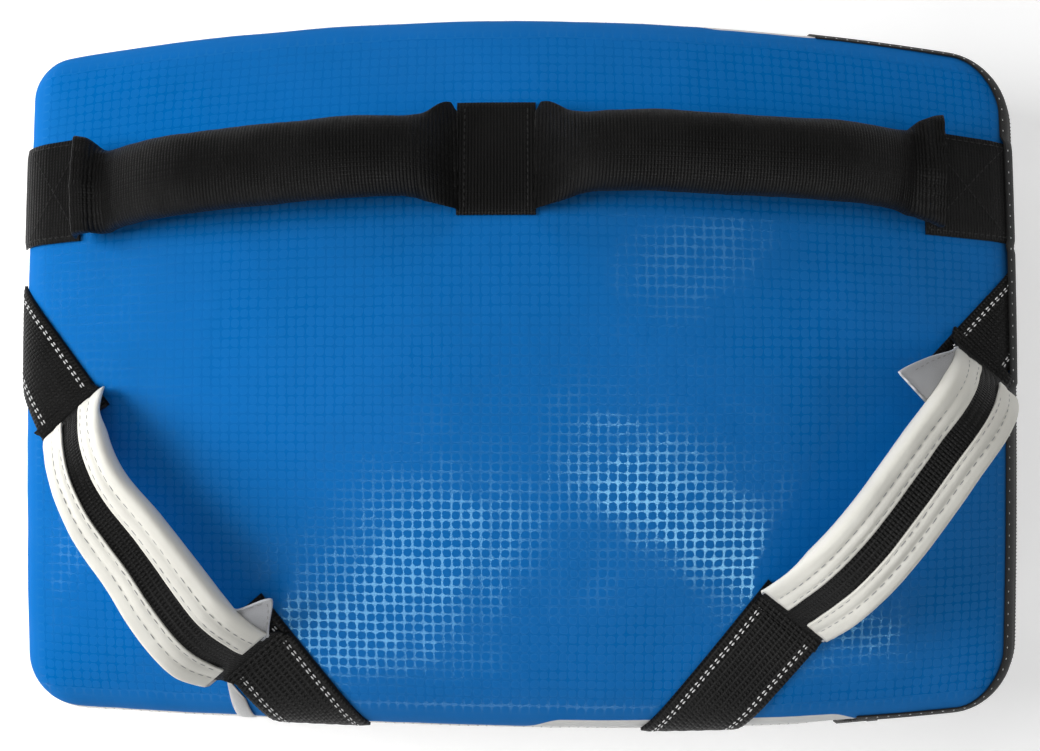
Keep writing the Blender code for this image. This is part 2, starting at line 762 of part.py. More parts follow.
def even_shares(start, end, count):
    """Shares of the span, closer together where the arch bends at its ends."""
    shares = []
    for number in range(count):
        even = number / (count - 1)
        eased = 0.5 - 0.5 * math.cos(math.pi * even)
        shares.append(start + (end - start) * (0.45 * even + 0.55 * eased))
    return shares


def strip_section(width, low, high):
    """Flat strap's section, from under its first edge round to above it."""
    under = [(lane, low) for lane in lanes(width)]
    over = [(lane, high) for lane in reversed(lanes(width))]
    return under + over


def wrap_turns():
    """Angles round a loop's section that its webbing covers."""
    start = math.pi + LOOP_WRAP
    return [start - (math.pi + 2 * LOOP_WRAP) * lane / (STRAP_LANES - 1) for lane in range(STRAP_LANES)]


def oval(turns, inwards):
    """Points of a loop's oval section, a little inside its outside."""
    wide = LOOP_WIDTH / 2 - inwards
    high = LOOP_THICKNESS / 2 - inwards
    return [(wide * math.cos(turn), high * math.sin(turn)) for turn in turns]


def wrap_section():
    """Webbing wrapped over the top and sides of a loop, as many points as a strip has."""
    turns = wrap_turns()
    return oval(turns, WEBBING_THICKNESS) + oval(reversed(turns), 0.0)


def mixed_section(first, second, share):
    """Section part way between two with the same number of points."""
    mix = share * share * (3 - 2 * share)
    return [(a[0] + (b[0] - a[0]) * mix, a[1] + (b[1] - a[1]) * mix) for a, b in zip(first, second)]


STRAP_STRIP = strip_section(STRAP_WIDTH, 0.0, WEBBING_THICKNESS)


def loop_arch(start_x, end_x):
    """Path of a forearm loop between two sewn patches."""
    start = Vector((start_x, STRAP_LINE_Y))
    end = Vector((end_x, STRAP_LINE_Y))
    return Arch(start, end, GAP, LOOP_RAISE, LOOP_SQUARENESS, LOOP_LEAN)


LEFT_LOOP_START = -HALF_LENGTH + LEFT_PATCH_LENGTH
LEFT_LOOP_END = CENTRE_PATCH_OFFSET - CENTRE_PATCH_LENGTH / 2
RIGHT_LOOP_START = CENTRE_PATCH_OFFSET + CENTRE_PATCH_LENGTH / 2
RIGHT_LOOP_END = HALF_LENGTH - RIGHT_PATCH_LENGTH


def riser_rings(arch, backwards):
    """Rings from a flat patch up to the loop's full wrapped section."""
    rings = []
    for step in range(1, RISER_STATIONS + 1):
        mix = step / RISER_STATIONS
        share = LOOP_CUT * mix
        if step == RISER_STATIONS:
            share -= GAP / 2 / arch.span
        section = mixed_section(STRAP_STRIP, wrap_section(), mix)
        rings.append(arch.ring(1 - share if backwards else share, section))
    return rings


def across_row(x):
    """Row of plan points straight across the forearm strap."""
    return [Vector((x, STRAP_LINE_Y - lane)) for lane in lanes(STRAP_WIDTH)]


def make_strap_patches():
    """The forearm strap where it is sewn flat, with its ends rising into the loops."""
    left = loop_arch(LEFT_LOOP_START, LEFT_LOOP_END)
    right = loop_arch(RIGHT_LOOP_START, RIGHT_LOOP_END)
    high = GAP + WEBBING_THICKNESS
    line = Vector((-HALF_LENGTH, STRAP_LINE_Y))
    rows = from_seam_rows(line, Vector((LEFT_LOOP_START, STRAP_LINE_Y)), STRAP_WIDTH, SEAM_INSET, 2, STRAP_END_TAPER)
    rings = [flat_ring(row, GAP, high) for row in rows]
    loft("strap_patch_left", rings + riser_rings(left, False), "black_webbing")
    steps = 3
    places = [LEFT_LOOP_END + CENTRE_PATCH_LENGTH * step / steps for step in range(steps + 1)]
    rings = list(reversed(riser_rings(left, True)))
    rings += [flat_ring(across_row(x), GAP, high) for x in places]
    rings += riser_rings(right, False)
    loft("strap_patch_centre", rings, "black_webbing")
    line = Vector((HALF_LENGTH, STRAP_LINE_Y))
    end = Vector((RIGHT_LOOP_END, STRAP_LINE_Y))
    rows = from_seam_rows(line, end, STRAP_WIDTH, TAPE_LAP + 2 * GAP, 2, STRAP_END_TAPER)
    rings = [flat_ring(list(reversed(row)), GAP, high) for row in rows]
    loft("strap_patch_right", rings + riser_rings(right, True), "black_webbing")


def make_loop(side, arch):
    """Webbing, foam roll and lining of one forearm loop."""
    cut = LOOP_CUT + GAP / 2 / arch.span
    shares = even_shares(cut, 1 - cut, LOOP_STATIONS)
    over = wrap_turns()
    edge = over[0] + 3 * GAP / LOOP_THICKNESS
    steps = 4
    under = [3 * math.pi - edge + (2 * edge - 3 * math.pi) * step / steps for step in range(steps + 1)]
    lining = oval(under, 0.0) + oval(reversed(under), LINING_THICKNESS)
    foam = oval(over + under, WEBBING_THICKNESS + GAP)
    pieces = (("webbing", wrap_section(), "black_webbing"), ("foam", foam, "foam"))
    pieces += (("lining", lining, "lining_cloth"),)
    for piece, section, finish in pieces:
        rings = [arch.ring(share, section) for share in shares]
        loft(side + "_loop_" + piece, rings, finish, origin=arch.start)
    tell_joint(side + "_loop_swing", arch.start, arch.along)


def sleeve_section(foam):
    """Sleeve folded round the webbing and the foam, open along the stripe on its top."""
    inner_x = GRIP_WIDTH / 2 + GAP
    outer_x = inner_x + SLEEVE_THICKNESS
    inner_top = WEBBING_THICKNESS + GAP
    outer_top = inner_top + SLEEVE_THICKNESS
    inner_low = -GAP - foam
    outer_low = inner_low - SLEEVE_THICKNESS
    stripe = SLEEVE_STRIPE / 2
    c = SLEEVE_CORNER
    outer = [(stripe, outer_top), (outer_x - c, outer_top), (outer_x, outer_top - c), (outer_x, outer_low + c)]
    outer.append((outer_x - c, outer_low))
    inner = [(stripe, inner_top), (inner_x, inner_top), (inner_x, inner_low)]
    mirrored = [(-x, z) for x, z in reversed(outer)]
    back = [(-x, z) for x, z in inner] + list(reversed(inner))
    return outer + mirrored + back


def foam_depth(share):
    """Thickness of a grip's padding at a share of its span."""
    edge = min(share, 1 - share)
    full = min(max((edge - GRIP_FOAM_MARGIN) / GRIP_FOAM_TAPER, 0.0), 1.0)
    return GRIP_FOAM_THICKNESS * full * full * (3 - 2 * full)


def foam_section(depth):
    """Padding's section with its corners cut off."""
    half = GRIP_FOAM_WIDTH / 2
    edge = min(0.3 * depth, GRIP_FOAM_EDGE)
    low = -GAP - depth
    right = [(half - edge, -GAP), (half, -GAP - edge), (half, low + edge), (half - edge, low)]
    return right + [(-x, z) for x, z in reversed(right)]


def make_grip(side, arch):
    """Webbing, folded sleeve and foam of one hand grip."""
    cut = GRIP_CUT + GAP / 2 / arch.span
    shares = even_shares(cut, 1 - cut, GRIP_STATIONS)
    strip = strip_section(GRIP_WIDTH, 0.0, WEBBING_THICKNESS)
    rings = [arch.ring(share, strip) for share in shares]
    loft(side + "_grip_webbing", rings, "black_webbing", origin=arch.start)
    rings = [arch.ring(share, sleeve_section(GAP + foam_depth(share))) for share in shares]
    loft(side + "_grip_sleeve", rings, "white_vinyl", origin=arch.start)
    padded = [share for share in shares if foam_depth(share) > GRIP_FOAM_THICKNESS / 10]
    rings = [arch.ring(share, foam_section(foam_depth(share))) for share in padded]
    loft(side + "_grip_foam", rings, "foam", origin=arch.start)
    tell_joint(side + "_grip_swing", arch.start, arch.along)


def make_foot(name, arch, backwards):
    """Grip webbing where it leaves its anchor: a sewn toe and a short rise."""
    low = FOOT_LIFT
    high = FOOT_LIFT + WEBBING_THICKNESS
    place = arch.plan_end if backwards else arch.plan_start
    heading = arch.plan_heading * (-1 if backwards else 1)
    aside = Vector((arch.plan_heading.y, -arch.plan_heading.x))
    rings = []
    for step in (2, 1):
        middle = place - heading * FOOT_TOE * step / 2
        rings.append(flat_ring([middle + aside * lane for lane in lanes(GRIP_STRAP_WIDTH)], low, high))
    for step in range(RISER_STATIONS):
        done = step / (RISER_STATIONS - 1)
        share = (GRIP_CUT - GAP / 2 / arch.span) * done
        width = GRIP_STRAP_WIDTH + (GRIP_WIDTH - GRIP_STRAP_WIDTH) * done
        strip = strip_section(width, 0.0, WEBBING_THICKNESS)
        rings.append(arch.ring(1 - share if backwards else share, strip))
    loft(name, rings, "black_webbing")


def heading_vector(angle):
    """Unit direction in plan."""
    return Vector((math.cos(angle), math.sin(angle)))


class Anchor:
    """Where one flat end of a diagonal strap starts, where it heads and how far it runs."""

    def __init__(self, seam_point, heading, length, tuck, taper):
        self.seam = seam_point
        self.heading = heading_vector(heading)
        self.length = length
        self.tuck = tuck
        self.taper = taper
        self.inset = SEAM_INSET


def make_anchor(name, anchor):
    """Diagonal strap sewn flat to the back, from the seam to under the grip."""
    end = anchor.seam + anchor.heading * (anchor.length + anchor.tuck)
    rows = from_seam_rows(anchor.seam, end, GRIP_STRAP_WIDTH, anchor.inset, 3, anchor.taper)
    loft(name, [flat_ring(row, GAP, GAP + WEBBING_THICKNESS) for row in rows], "black_webbing")


def make_grip_side(side, upper, lower, raised, lean):
    """Anchors, feet and grip of one diagonal strap."""
    top = upper.seam + upper.heading * upper.length
    bottom = lower.seam + lower.heading * lower.length
    arch = Arch(top, bottom, FOOT_LIFT, raised, GRIP_SQUARENESS, lean)
    arch.plan_start = top
    arch.plan_end = bottom
    arch.plan_heading = (bottom - top).normalized()
    make_anchor(side + "_grip_upper_anchor", upper)
    make_anchor(side + "_grip_lower_anchor", lower)
    make_foot(side + "_grip_upper_foot", arch, False)
    make_foot(side + "_grip_lower_foot", arch, True)
    make_grip(side, arch)


def make_grips():
    """The two diagonal straps with their hand grips."""
    seam_point = Vector((-HALF_LENGTH, HALF_WIDTH - LEFT_UPPER_SEAM_INSET))
    upper = Anchor(seam_point, LEFT_UPPER_HEADING, LEFT_UPPER_LENGTH, LEFT_UPPER_TUCK, UPPER_ANCHOR_TAPER)
    seam_point = Vector((LEFT_LOWER_SEAM_INSET - HALF_LENGTH, -HALF_WIDTH))
    lower = Anchor(seam_point, LEFT_LOWER_HEADING, LEFT_LOWER_LENGTH, LEFT_LOWER_TUCK, LOWER_ANCHOR_TAPER)
    make_grip_side("left", upper, lower, LEFT_GRIP_RAISE, LEFT_GRIP_LEAN)
    seam_point = Vector((HALF_LENGTH, HALF_WIDTH - RIGHT_UPPER_SEAM_INSET))
    upper = Anchor(seam_point, RIGHT_UPPER_HEADING, RIGHT_UPPER_LENGTH, RIGHT_UPPER_TUCK, UPPER_ANCHOR_TAPER)
    upper.inset = TAPE_LAP + 2 * GAP
    seam_point = Vector((HALF_LENGTH - RIGHT_LOWER_SEAM_INSET, -HALF_WIDTH))
    lower = Anchor(seam_point, RIGHT_LOWER_HEADING, RIGHT_LOWER_LENGTH, RIGHT_LOWER_TUCK, LOWER_ANCHOR_TAPER)
    make_grip_side("right", upper, lower, RIGHT_GRIP_RAISE, RIGHT_GRIP_LEAN)


def make_care_tag():
    """Small satin tag that hangs from the outer edge of the left lower anchor."""
    seam_end = Vector((LEFT_LOWER_SEAM_INSET - HALF_LENGTH, -HALF_WIDTH))
    heading = heading_vector(LEFT_LOWER_HEADING)
    outward = Vector((-heading.y, heading.x))
    edge = seam_end + outward * (GRIP_STRAP_WIDTH / 2 + 2 * GAP)
    high = edge + heading * TAG_ALONG_ANCHOR
    low = high - heading * (TAG_WIDTH / abs(heading.x))
    steps = 5
    rings = []
    for step in range(steps + 1):
        share = step / steps
        row = []
        for top in (high, low):
            end = Vector((top.x + TAG_SLANT, -HALF_WIDTH + TAG_SEAM_INSET))
            row.append(top.lerp(end, share ** TAG_EASE))
        row.insert(1, (row[0] + row[1]) / 2)
        rings.append(flat_ring(row, GAP, GAP + TAG_THICKNESS))
    first = on_back(*high, GAP)
    second = on_back(*low, GAP)
    loft("care_tag", rings, "white_satin", origin=first)
    tell_joint("care_tag_flap", first, (first - second).normalized())


def build_pad():
    """Make every piece of the pad."""
    make_front_panel()
    make_side_walls()
    make_back_panel()
    make_cores()
    make_zip_tapes()
    make_zip_chain()
    make_zip_stops()
    make_slider_and_pull()
    make_strap_patches()
    make_loop("left", loop_arch(LEFT_LOOP_START, LEFT_LOOP_END))
    make_loop("right", loop_arch(RIGHT_LOOP_START, RIGHT_LOOP_END))
    make_grips()
    make_care_tag()


build_pad()
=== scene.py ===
import math
import random

import bmesh
import bpy
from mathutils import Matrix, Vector, noise


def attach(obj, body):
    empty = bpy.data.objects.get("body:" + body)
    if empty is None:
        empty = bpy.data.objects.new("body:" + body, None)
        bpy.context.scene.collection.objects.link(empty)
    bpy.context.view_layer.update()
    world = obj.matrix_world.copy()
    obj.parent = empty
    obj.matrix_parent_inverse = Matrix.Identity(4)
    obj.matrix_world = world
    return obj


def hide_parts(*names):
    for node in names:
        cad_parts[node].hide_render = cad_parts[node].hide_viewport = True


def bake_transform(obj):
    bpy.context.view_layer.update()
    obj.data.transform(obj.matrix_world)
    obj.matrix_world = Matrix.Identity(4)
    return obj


# Kick pad on a pale floor, seen from above. Metres: +X to the zip end, +Y to the top edge, +Z up.

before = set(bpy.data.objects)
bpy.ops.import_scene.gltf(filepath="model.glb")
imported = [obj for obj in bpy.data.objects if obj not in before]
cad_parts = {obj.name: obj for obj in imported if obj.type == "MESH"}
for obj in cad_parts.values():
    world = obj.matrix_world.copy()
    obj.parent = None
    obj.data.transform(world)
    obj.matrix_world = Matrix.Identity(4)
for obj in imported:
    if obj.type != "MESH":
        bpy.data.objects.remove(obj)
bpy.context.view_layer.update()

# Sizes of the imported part, which the looks follow
PAD_LENGTH = 0.608
PAD_WIDTH = 0.400
TOP_BOW = 0.0245
BOTTOM_BOW = 0.0113
BOTTOM_BOW_SKEW = 0.5
END_BOW = 0.0035
END_TAPER = 0.0018
TOP_LEFT_RADIUS = 0.024
TOP_RIGHT_RADIUS = 0.036
BOTTOM_LEFT_RADIUS = 0.032
BOTTOM_RIGHT_RADIUS = 0.036
BACK_SEAM_HEIGHT = 0.092
BACK_SEAM_RISE = 0.010
FRONT_SEAM_HEIGHT = 0.008
FRONT_EDGE_WIDTH = 0.012
EDGE_ROLL_WIDTH = 0.020
EDGE_ROLL_HEIGHT = 0.014
CROWN_HEIGHT = 0.031
CROWN_POWER_LENGTH = 2.4
CROWN_POWER_WIDTH = 2.6
WALL_BULGE = 0.007
ZIP_END_BULGE = 0.004
ZIP_PINCH = 0.0065
ZIP_PINCH_LENGTH = 0.035
BULGE_POWER = 0.7
ZIP_TOP_X = 0.181
ZIP_BOTTOM_X = 0.204
ZIP_LINE_DEPTH = 0.015
ZIP_WALL_DEPTH = 0.024
ZIP_WALL_LAP = 0.006
TAPE_LAP = 0.004
GAP = 0.00035
WEBBING = 0.0020
SEAM_INSET = 0.0004
UNDER_TAPE_INSET = TAPE_LAP + 2 * GAP
STRAP_LIFT = GAP + 0.0004

STRAP_WIDTH = 0.0615
STRAP_LINE_Y = 0.114
LEFT_LOOP_ENDS = (-0.253, -0.036)
RIGHT_LOOP_ENDS = (0.008, 0.2406)
CENTRE_PATCH_ENDS = (-0.036, 0.008)
LOOP_WIDTH = 0.0475
LOOP_THICKNESS = 0.024
LOOP_RAISE = 0.033
LOOP_LEAN = 0.08
LOOP_SQUARENESS = 4.0
LOOP_CUT = 0.09
LOOP_TURN = 0.18

GRIP_STRAP_WIDTH = 0.050
GRIP_WIDTH = 0.047
GRIP_SQUARENESS = 3.6
GRIP_CUT = 0.05
GRIP_TURN = 0.12
GRIP_FOAM = 0.006
SLEEVE = 0.0014
FOOT_TOE = 0.006
FOOT_SWAY = 0.4
TAG_WIDTH = 0.011
TAG_ALONG_ANCHOR = 0.0565
TAG_THICKNESS = 0.0003

HALF_LENGTH = PAD_LENGTH / 2
HALF_WIDTH = PAD_WIDTH / 2

# Flat ends of the diagonal straps: place on the seam, heading in degrees and length
LEFT_UPPER = (Vector((-HALF_LENGTH, 0.031)), -56.2, 0.0642)
LEFT_LOWER = (Vector((-0.1198, -HALF_WIDTH)), 129.9, 0.0565)
RIGHT_UPPER = (Vector((HALF_LENGTH, 0.047)), -130.8, 0.0477)
RIGHT_LOWER = (Vector((0.1026, -HALF_WIDTH)), 49.2, 0.0858)
DIAGONALS = (LEFT_UPPER, LEFT_LOWER, RIGHT_UPPER, RIGHT_LOWER)

# Photograph's camera
CAMERA_PLACE = (0.0, -0.0343, 0.883)
CAMERA_TILT = math.radians(2.7)
CAMERA_LENS = 43.79

random.seed(5)


def smooth(share):
    """Ease a share between 0 and 1."""
    share = min(max(share, 0.0), 1.0)
    return share * share * (3 - 2 * share)


def fade(distance, reach):
    """1 at no distance, easing to 0 at a reach."""
    return 1 - smooth(distance / reach)


def direction(turn):
    """Level direction at an angle from +X."""
    return Vector((math.cos(turn), math.sin(turn)))


# Surface of the stuffed cover, by the same formulas as the part


def corner_radius(x, y):
    """Radius of the corner in the quarter that holds a point."""
    if x >= 0:
        return TOP_RIGHT_RADIUS if y >= 0 else BOTTOM_RIGHT_RADIUS
    return TOP_LEFT_RADIUS if y >= 0 else BOTTOM_LEFT_RADIUS


def seam_runs():
    """Straight runs and corner arcs of the seam, anticlockwise from the right end's middle."""
    runs = []
    here = Vector((HALF_LENGTH, 0.0))
    for number, (across, up) in enumerate(((1, 1), (-1, 1), (-1, -1), (1, -1))):
        radius = corner_radius(across, up)
        centre = Vector((across * (HALF_LENGTH - radius), up * (HALF_WIDTH - radius)))
        start = number * math.pi / 2
        corner = centre + radius * direction(start)
        runs.append(("line", (corner - here).length, here, corner, start))
        runs.append(("arc", radius * math.pi / 2, centre, radius, start))
        here = centre + radius * direction(start + math.pi / 2)
    end = Vector((HALF_LENGTH, 0.0))
    runs.append(("line", (end - here).length, here, end, 0.0))
    return runs


SEAM_RUNS = seam_runs()
SEAM_LENGTH = sum(run[1] for run in SEAM_RUNS)


def seam(s):
    """Point and outward direction at a distance s along the seam, as the panel is cut."""
    s = s % SEAM_LENGTH
    for kind, length, first, second, angle in SEAM_RUNS:
        if s <= length:
            break
        s -= length
    if kind == "line":
        return first.lerp(second, min(s / length, 1.0)), direction(angle)
    turn = angle + s / second
    outward = direction(turn)
    return first + second * outward, outward


def seam_distance(x, y):
    """Distance along the seam to a point on it."""
    place = Vector((x, y))
    passed = 0.0
    near = 1e-5
    for kind, length, first, second, angle in SEAM_RUNS:
        if kind == "line":
            heading = (second - first).normalized()
            along = (place - first).dot(heading)
            if -near <= along <= length + near and (place - first - heading * along).length < near:
                return passed + along
        else:
            spoke = place - first
            turn = (math.atan2(spoke.y, spoke.x) - angle) % (2 * math.pi)
            if abs(spoke.length - second) < near and turn <= math.pi / 2 + near:
                return passed + turn * second
        passed += length
    raise ValueError("the point is not on the seam")


def long_side_distance(x, up):
    """Distance along the seam to the point at x on the top or the bottom side."""
    return seam_distance(x, HALF_WIDTH if up else -HALF_WIDTH)


ZIP_START = long_side_distance(ZIP_BOTTOM_X, False) - SEAM_LENGTH
ZIP_END = long_side_distance(ZIP_TOP_X, True)


def reach_inside(outside, inset, place_at):
    """How far a line can run before it comes nearer to the seam than an inset."""
    inside = 0.0
    for _ in range(34):
        guess = (inside + outside) / 2
        if inset_from_seam(*place_at(guess)) > inset:
            inside = guess
        else:
            outside = guess
    return inside


def inset_from_seam(x, y):
    """Distance of a point of the cut panel from its seam."""
    radius = corner_radius(x, y)
    over_x = abs(x) - HALF_LENGTH + radius
    over_y = abs(y) - HALF_WIDTH + radius
    outside = math.hypot(max(over_x, 0.0), max(over_y, 0.0))
    return radius - outside - min(max(over_x, over_y), 0.0)


def bowed(x, y):
    """Where the filling pushes a point of the cut panel to."""
    along = x / HALF_LENGTH
    across = y / HALF_WIDTH
    bow = TOP_BOW if y > 0 else BOTTOM_BOW * (1 + BOTTOM_BOW_SKEW * along)
    end = END_BOW * (1 - across ** 2) + END_TAPER * across
    return x + end * along, y + bow * across * (1 - along ** 2)


def back_height(x, y):
    """Height of the back panel over a point of the cut panel."""
    along = min(abs(x) / HALF_LENGTH, 1.0)
    across = min(abs(y) / HALF_WIDTH, 1.0)
    inset = min(max(inset_from_seam(x, y), 0.0), EDGE_ROLL_WIDTH) / EDGE_ROLL_WIDTH
    roll = math.sqrt(1 - (1 - inset) ** 2)
    crown = (1 - along ** CROWN_POWER_LENGTH) * (1 - across ** CROWN_POWER_WIDTH)
    rise = BACK_SEAM_RISE * (1 - along ** 2)
    return BACK_SEAM_HEIGHT + rise + EDGE_ROLL_HEIGHT * roll + CROWN_HEIGHT * crown


def back_surface(x, y):
    """Point of the back panel's outer surface over a point of the cut panel."""
    return Vector((*bowed(x, y), back_height(x, y)))


def back_normal(x, y):
    """Outward direction of the back panel."""
    step = 0.0002
    along = back_surface(x + step, y) - back_surface(x - step, y)
    across = back_surface(x, y + step) - back_surface(x, y - step)
    return along.cross(across).normalized()


def on_back(x, y, lift):
    """Point at a height above the back panel."""
    return back_surface(x, y) + back_normal(x, y) * lift


def wall_height(s):
    """Height of the side wall between its two seams."""
    return back_height(*seam(s)[0]) - FRONT_SEAM_HEIGHT


def wall_swell(s, depth):
    """How far the side wall stands out at a depth below the back seam."""
    place, outward = seam(s)
    bulge = WALL_BULGE + ZIP_END_BULGE * max(outward.x, 0.0) ** 2
    past = smooth((place.x - ZIP_BOTTOM_X) / ZIP_PINCH_LENGTH + 1)
    bulge -= ZIP_PINCH * past * max(-outward.y, 0.0) ** 2
    share = min(max(depth / wall_height(s), 0.0), 1.0)
    return bulge * math.sin(math.pi * share) ** BULGE_POWER


def outward_in_plan(s):
    """Outward direction of the bowed seam."""
    step = 0.0005
    before = Vector(bowed(*seam(s - step)[0]))
    after = Vector(bowed(*seam(s + step)[0]))
    along = (after - before).normalized()
    return Vector((along.y, -along.x))


def wall_point(s, depth):
    """Point of the side wall at a depth below the back seam."""
    place = Vector(bowed(*seam(s)[0])) + outward_in_plan(s) * wall_swell(s, depth)
    return Vector((place.x, place.y, back_height(*seam(s)[0]) - depth))


def cover_surface(s, depth):
    """Cover's outer surface: over the back for a negative depth, down the wall for a positive one."""
    if depth > 0:
        return wall_point(s, depth)
    place, outward = seam(s)
    return back_surface(*(place + outward * depth))


def cover_frame(s, depth):
    """Directions along the seam, down the wall and outwards."""
    step = 0.0004
    along = (cover_surface(s + step, depth) - cover_surface(s - step, depth)).normalized()
    down = cover_surface(s, depth + step) - cover_surface(s, depth - step)
    outward = down.cross(along).normalized()
    return along, along.cross(outward).normalized(), outward


def cover_point(s, depth, lift):
    """Point at a height above the cover's outer surface."""
    return cover_surface(s, depth) + cover_frame(s, depth)[2] * lift


class Arch:
    """Path that rises from the back, runs level and comes down again."""

    def __init__(self, start, end, lift, height, squareness, lean):
        self.start = on_back(*start, lift)
        self.end = on_back(*end, lift)
        self.height = height
        self.squareness = squareness
        self.lean = lean
        self.span = (self.end - self.start).length
        self.along = (self.end - self.start) / self.span
        up = back_normal(*start) + back_normal(*end)
        self.up = (up - self.along * up.dot(self.along)).normalized()
        self.aside = self.along.cross(self.up)

    def rise(self, share):
        """Height of the path at a share of its span."""
        return self.height * (1 - abs(2 * share - 1) ** self.squareness)

    def point(self, share, aside, up):
        """Point beside and above the path at a share of its span."""
        rise = self.rise(share)
        return self.foot(share) + self.aside * (aside + self.lean * rise) + self.up * (rise + up)

    def foot(self, share):
        """Point under the path, on the straight line between its ends."""
        return self.start.lerp(self.end, share)

    def share_at(self, place):
        """Share of the span that a place stands over."""
        return (place - self.start).dot(self.along) / self.span


# Meshes with a pattern map, which is in metres along and across the cloth


class Skin:
    """Points, faces, pattern places and material numbers of one mesh."""

    def __init__(self):
        self.points = []
        self.faces = []
        self.marks = []
        self.kinds = []

    def grid(self, rows, marks, kind=0, lanes=None):
        """Add a sheet of quads from rows of points and pattern places, in the lanes that are wanted."""
        base = len(self.points)
        count = len(rows[0])
        for row in rows:
            self.points += row
        flat = [mark for row in marks for mark in row]
        for i in range(len(rows) - 1):
            for j in range(count - 1):
                if lanes and not lanes(j):
                    continue
                corner = i * count + j
                quad = (corner, corner + 1, corner + count + 1, corner + count)
                self.faces.append([base + k for k in quad])
                self.marks += [flat[k] for k in quad]
                self.kinds.append(kind(i, j) if callable(kind) else kind)

    def make(self, name, *finishes):
        """Make the object, with doubled points joined and faces turned outwards."""
        mesh = bpy.data.meshes.new(name)
        mesh.from_pydata(self.points, [], self.faces)
        layer = mesh.uv_layers.new(name="pattern")
        layer.uv.foreach_set("vector", [value for mark in self.marks for value in mark])
        mesh.polygons.foreach_set("material_index", self.kinds)
        for finish in finishes:
            mesh.materials.append(finish)
        work = bmesh.new()
        work.from_mesh(mesh)
        bmesh.ops.remove_doubles(work, verts=work.verts, dist=2e-6)
        bmesh.ops.dissolve_degenerate(work, edges=work.edges, dist=1e-6)
        bmesh.ops.recalc_face_normals(work, faces=work.faces)
        work.to_mesh(mesh)
        work.free()
        mesh.shade_smooth()
        made = bpy.data.objects.new(name, mesh)
        bpy.context.scene.collection.objects.link(made)
        return made


def ribbon(name, finish, rows):
    """Closed thin piece of cloth, from rows of cells: points over and under it, and the pattern place."""
    tops, bottoms, marks = ([[cell[part] for cell in row] for row in rows] for part in range(3))
    skin = Skin()
    skin.grid(tops, marks)
    skin.grid([row[::-1] for row in bottoms], [row[::-1] for row in marks])
    for lane in (0, -1):
        skin.grid([list(row[lane][:2]) for row in rows], [[row[lane][2]] * 2 for row in rows])
    for row in (0, -1):
        skin.grid([tops[row], bottoms[row]], [marks[row], marks[row]])
    return skin.make(name, finish)


def twin(made):
    """Second object with its own copy of a mesh."""
    other = made.copy()
    other.data = made.data.copy()
    bpy.context.scene.collection.objects.link(other)
    return other


def cut_away(piece, unwanted):
    """Delete the faces of a piece that a test picks."""
    work = bmesh.new()
    work.from_mesh(piece.data)
    gone = [face for face in work.faces if unwanted(face)]
    bmesh.ops.delete(work, geom=gone, context="FACES")
    work.to_mesh(piece.data)
    work.free()


def thicken(made, thickness, backing=0):
    """Give a sheet of cloth its thickness, with the next material inside where it has a backing."""
    solid = made.modifiers.new("thickness", "SOLIDIFY")
    solid.thickness = thickness
    solid.material_offset = backing
    apply_modifiers(made)


def apply_modifiers(made):
    """Put the result of an object's modifiers into its mesh."""
    graph = bpy.context.evaluated_depsgraph_get()
    result = bpy.data.meshes.new_from_object(made.evaluated_get(graph))
    made.modifiers.clear()
    made.data = result


def keep(made, body, slot, *nodes):
    """Attach a piece to the body it rides on, and hide the imported parts that it stands for; the finish
    slot is not used.
    """
    if body:
        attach(made, body)
    if nodes:
        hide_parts(*nodes)
    return made


def turn_with_ends(made, arch, body, turn, slot, *nodes, fill=None):
    """Part a piece at the middle of its arch, and bake each half's placement into its mesh; the body is
    not used.
    """
    whole = made.name
    for piece, edge, sign, label in ((made, 0.0, 1, "first"), (twin(made), 1.0, -1, "second")):
        cut_away(piece, lambda face: (arch.share_at(face.calc_center_median()) - 0.5) * sign > 0)
        piece.name = f"{whole}_{label}_half"
        turn_at_end(piece, arch, body, edge, edge + sign * turn)
        keep(piece, None, slot, *nodes)
        nodes = ()


def turn_at_end(piece, arch, body, edge, level):
    """Bake a piece's placement into its mesh, without turning it; the body and the two shares of the arch
    are not used.
    """
    arch.foot(edge)
    arch.foot(level)
    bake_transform(piece)


# Finishes


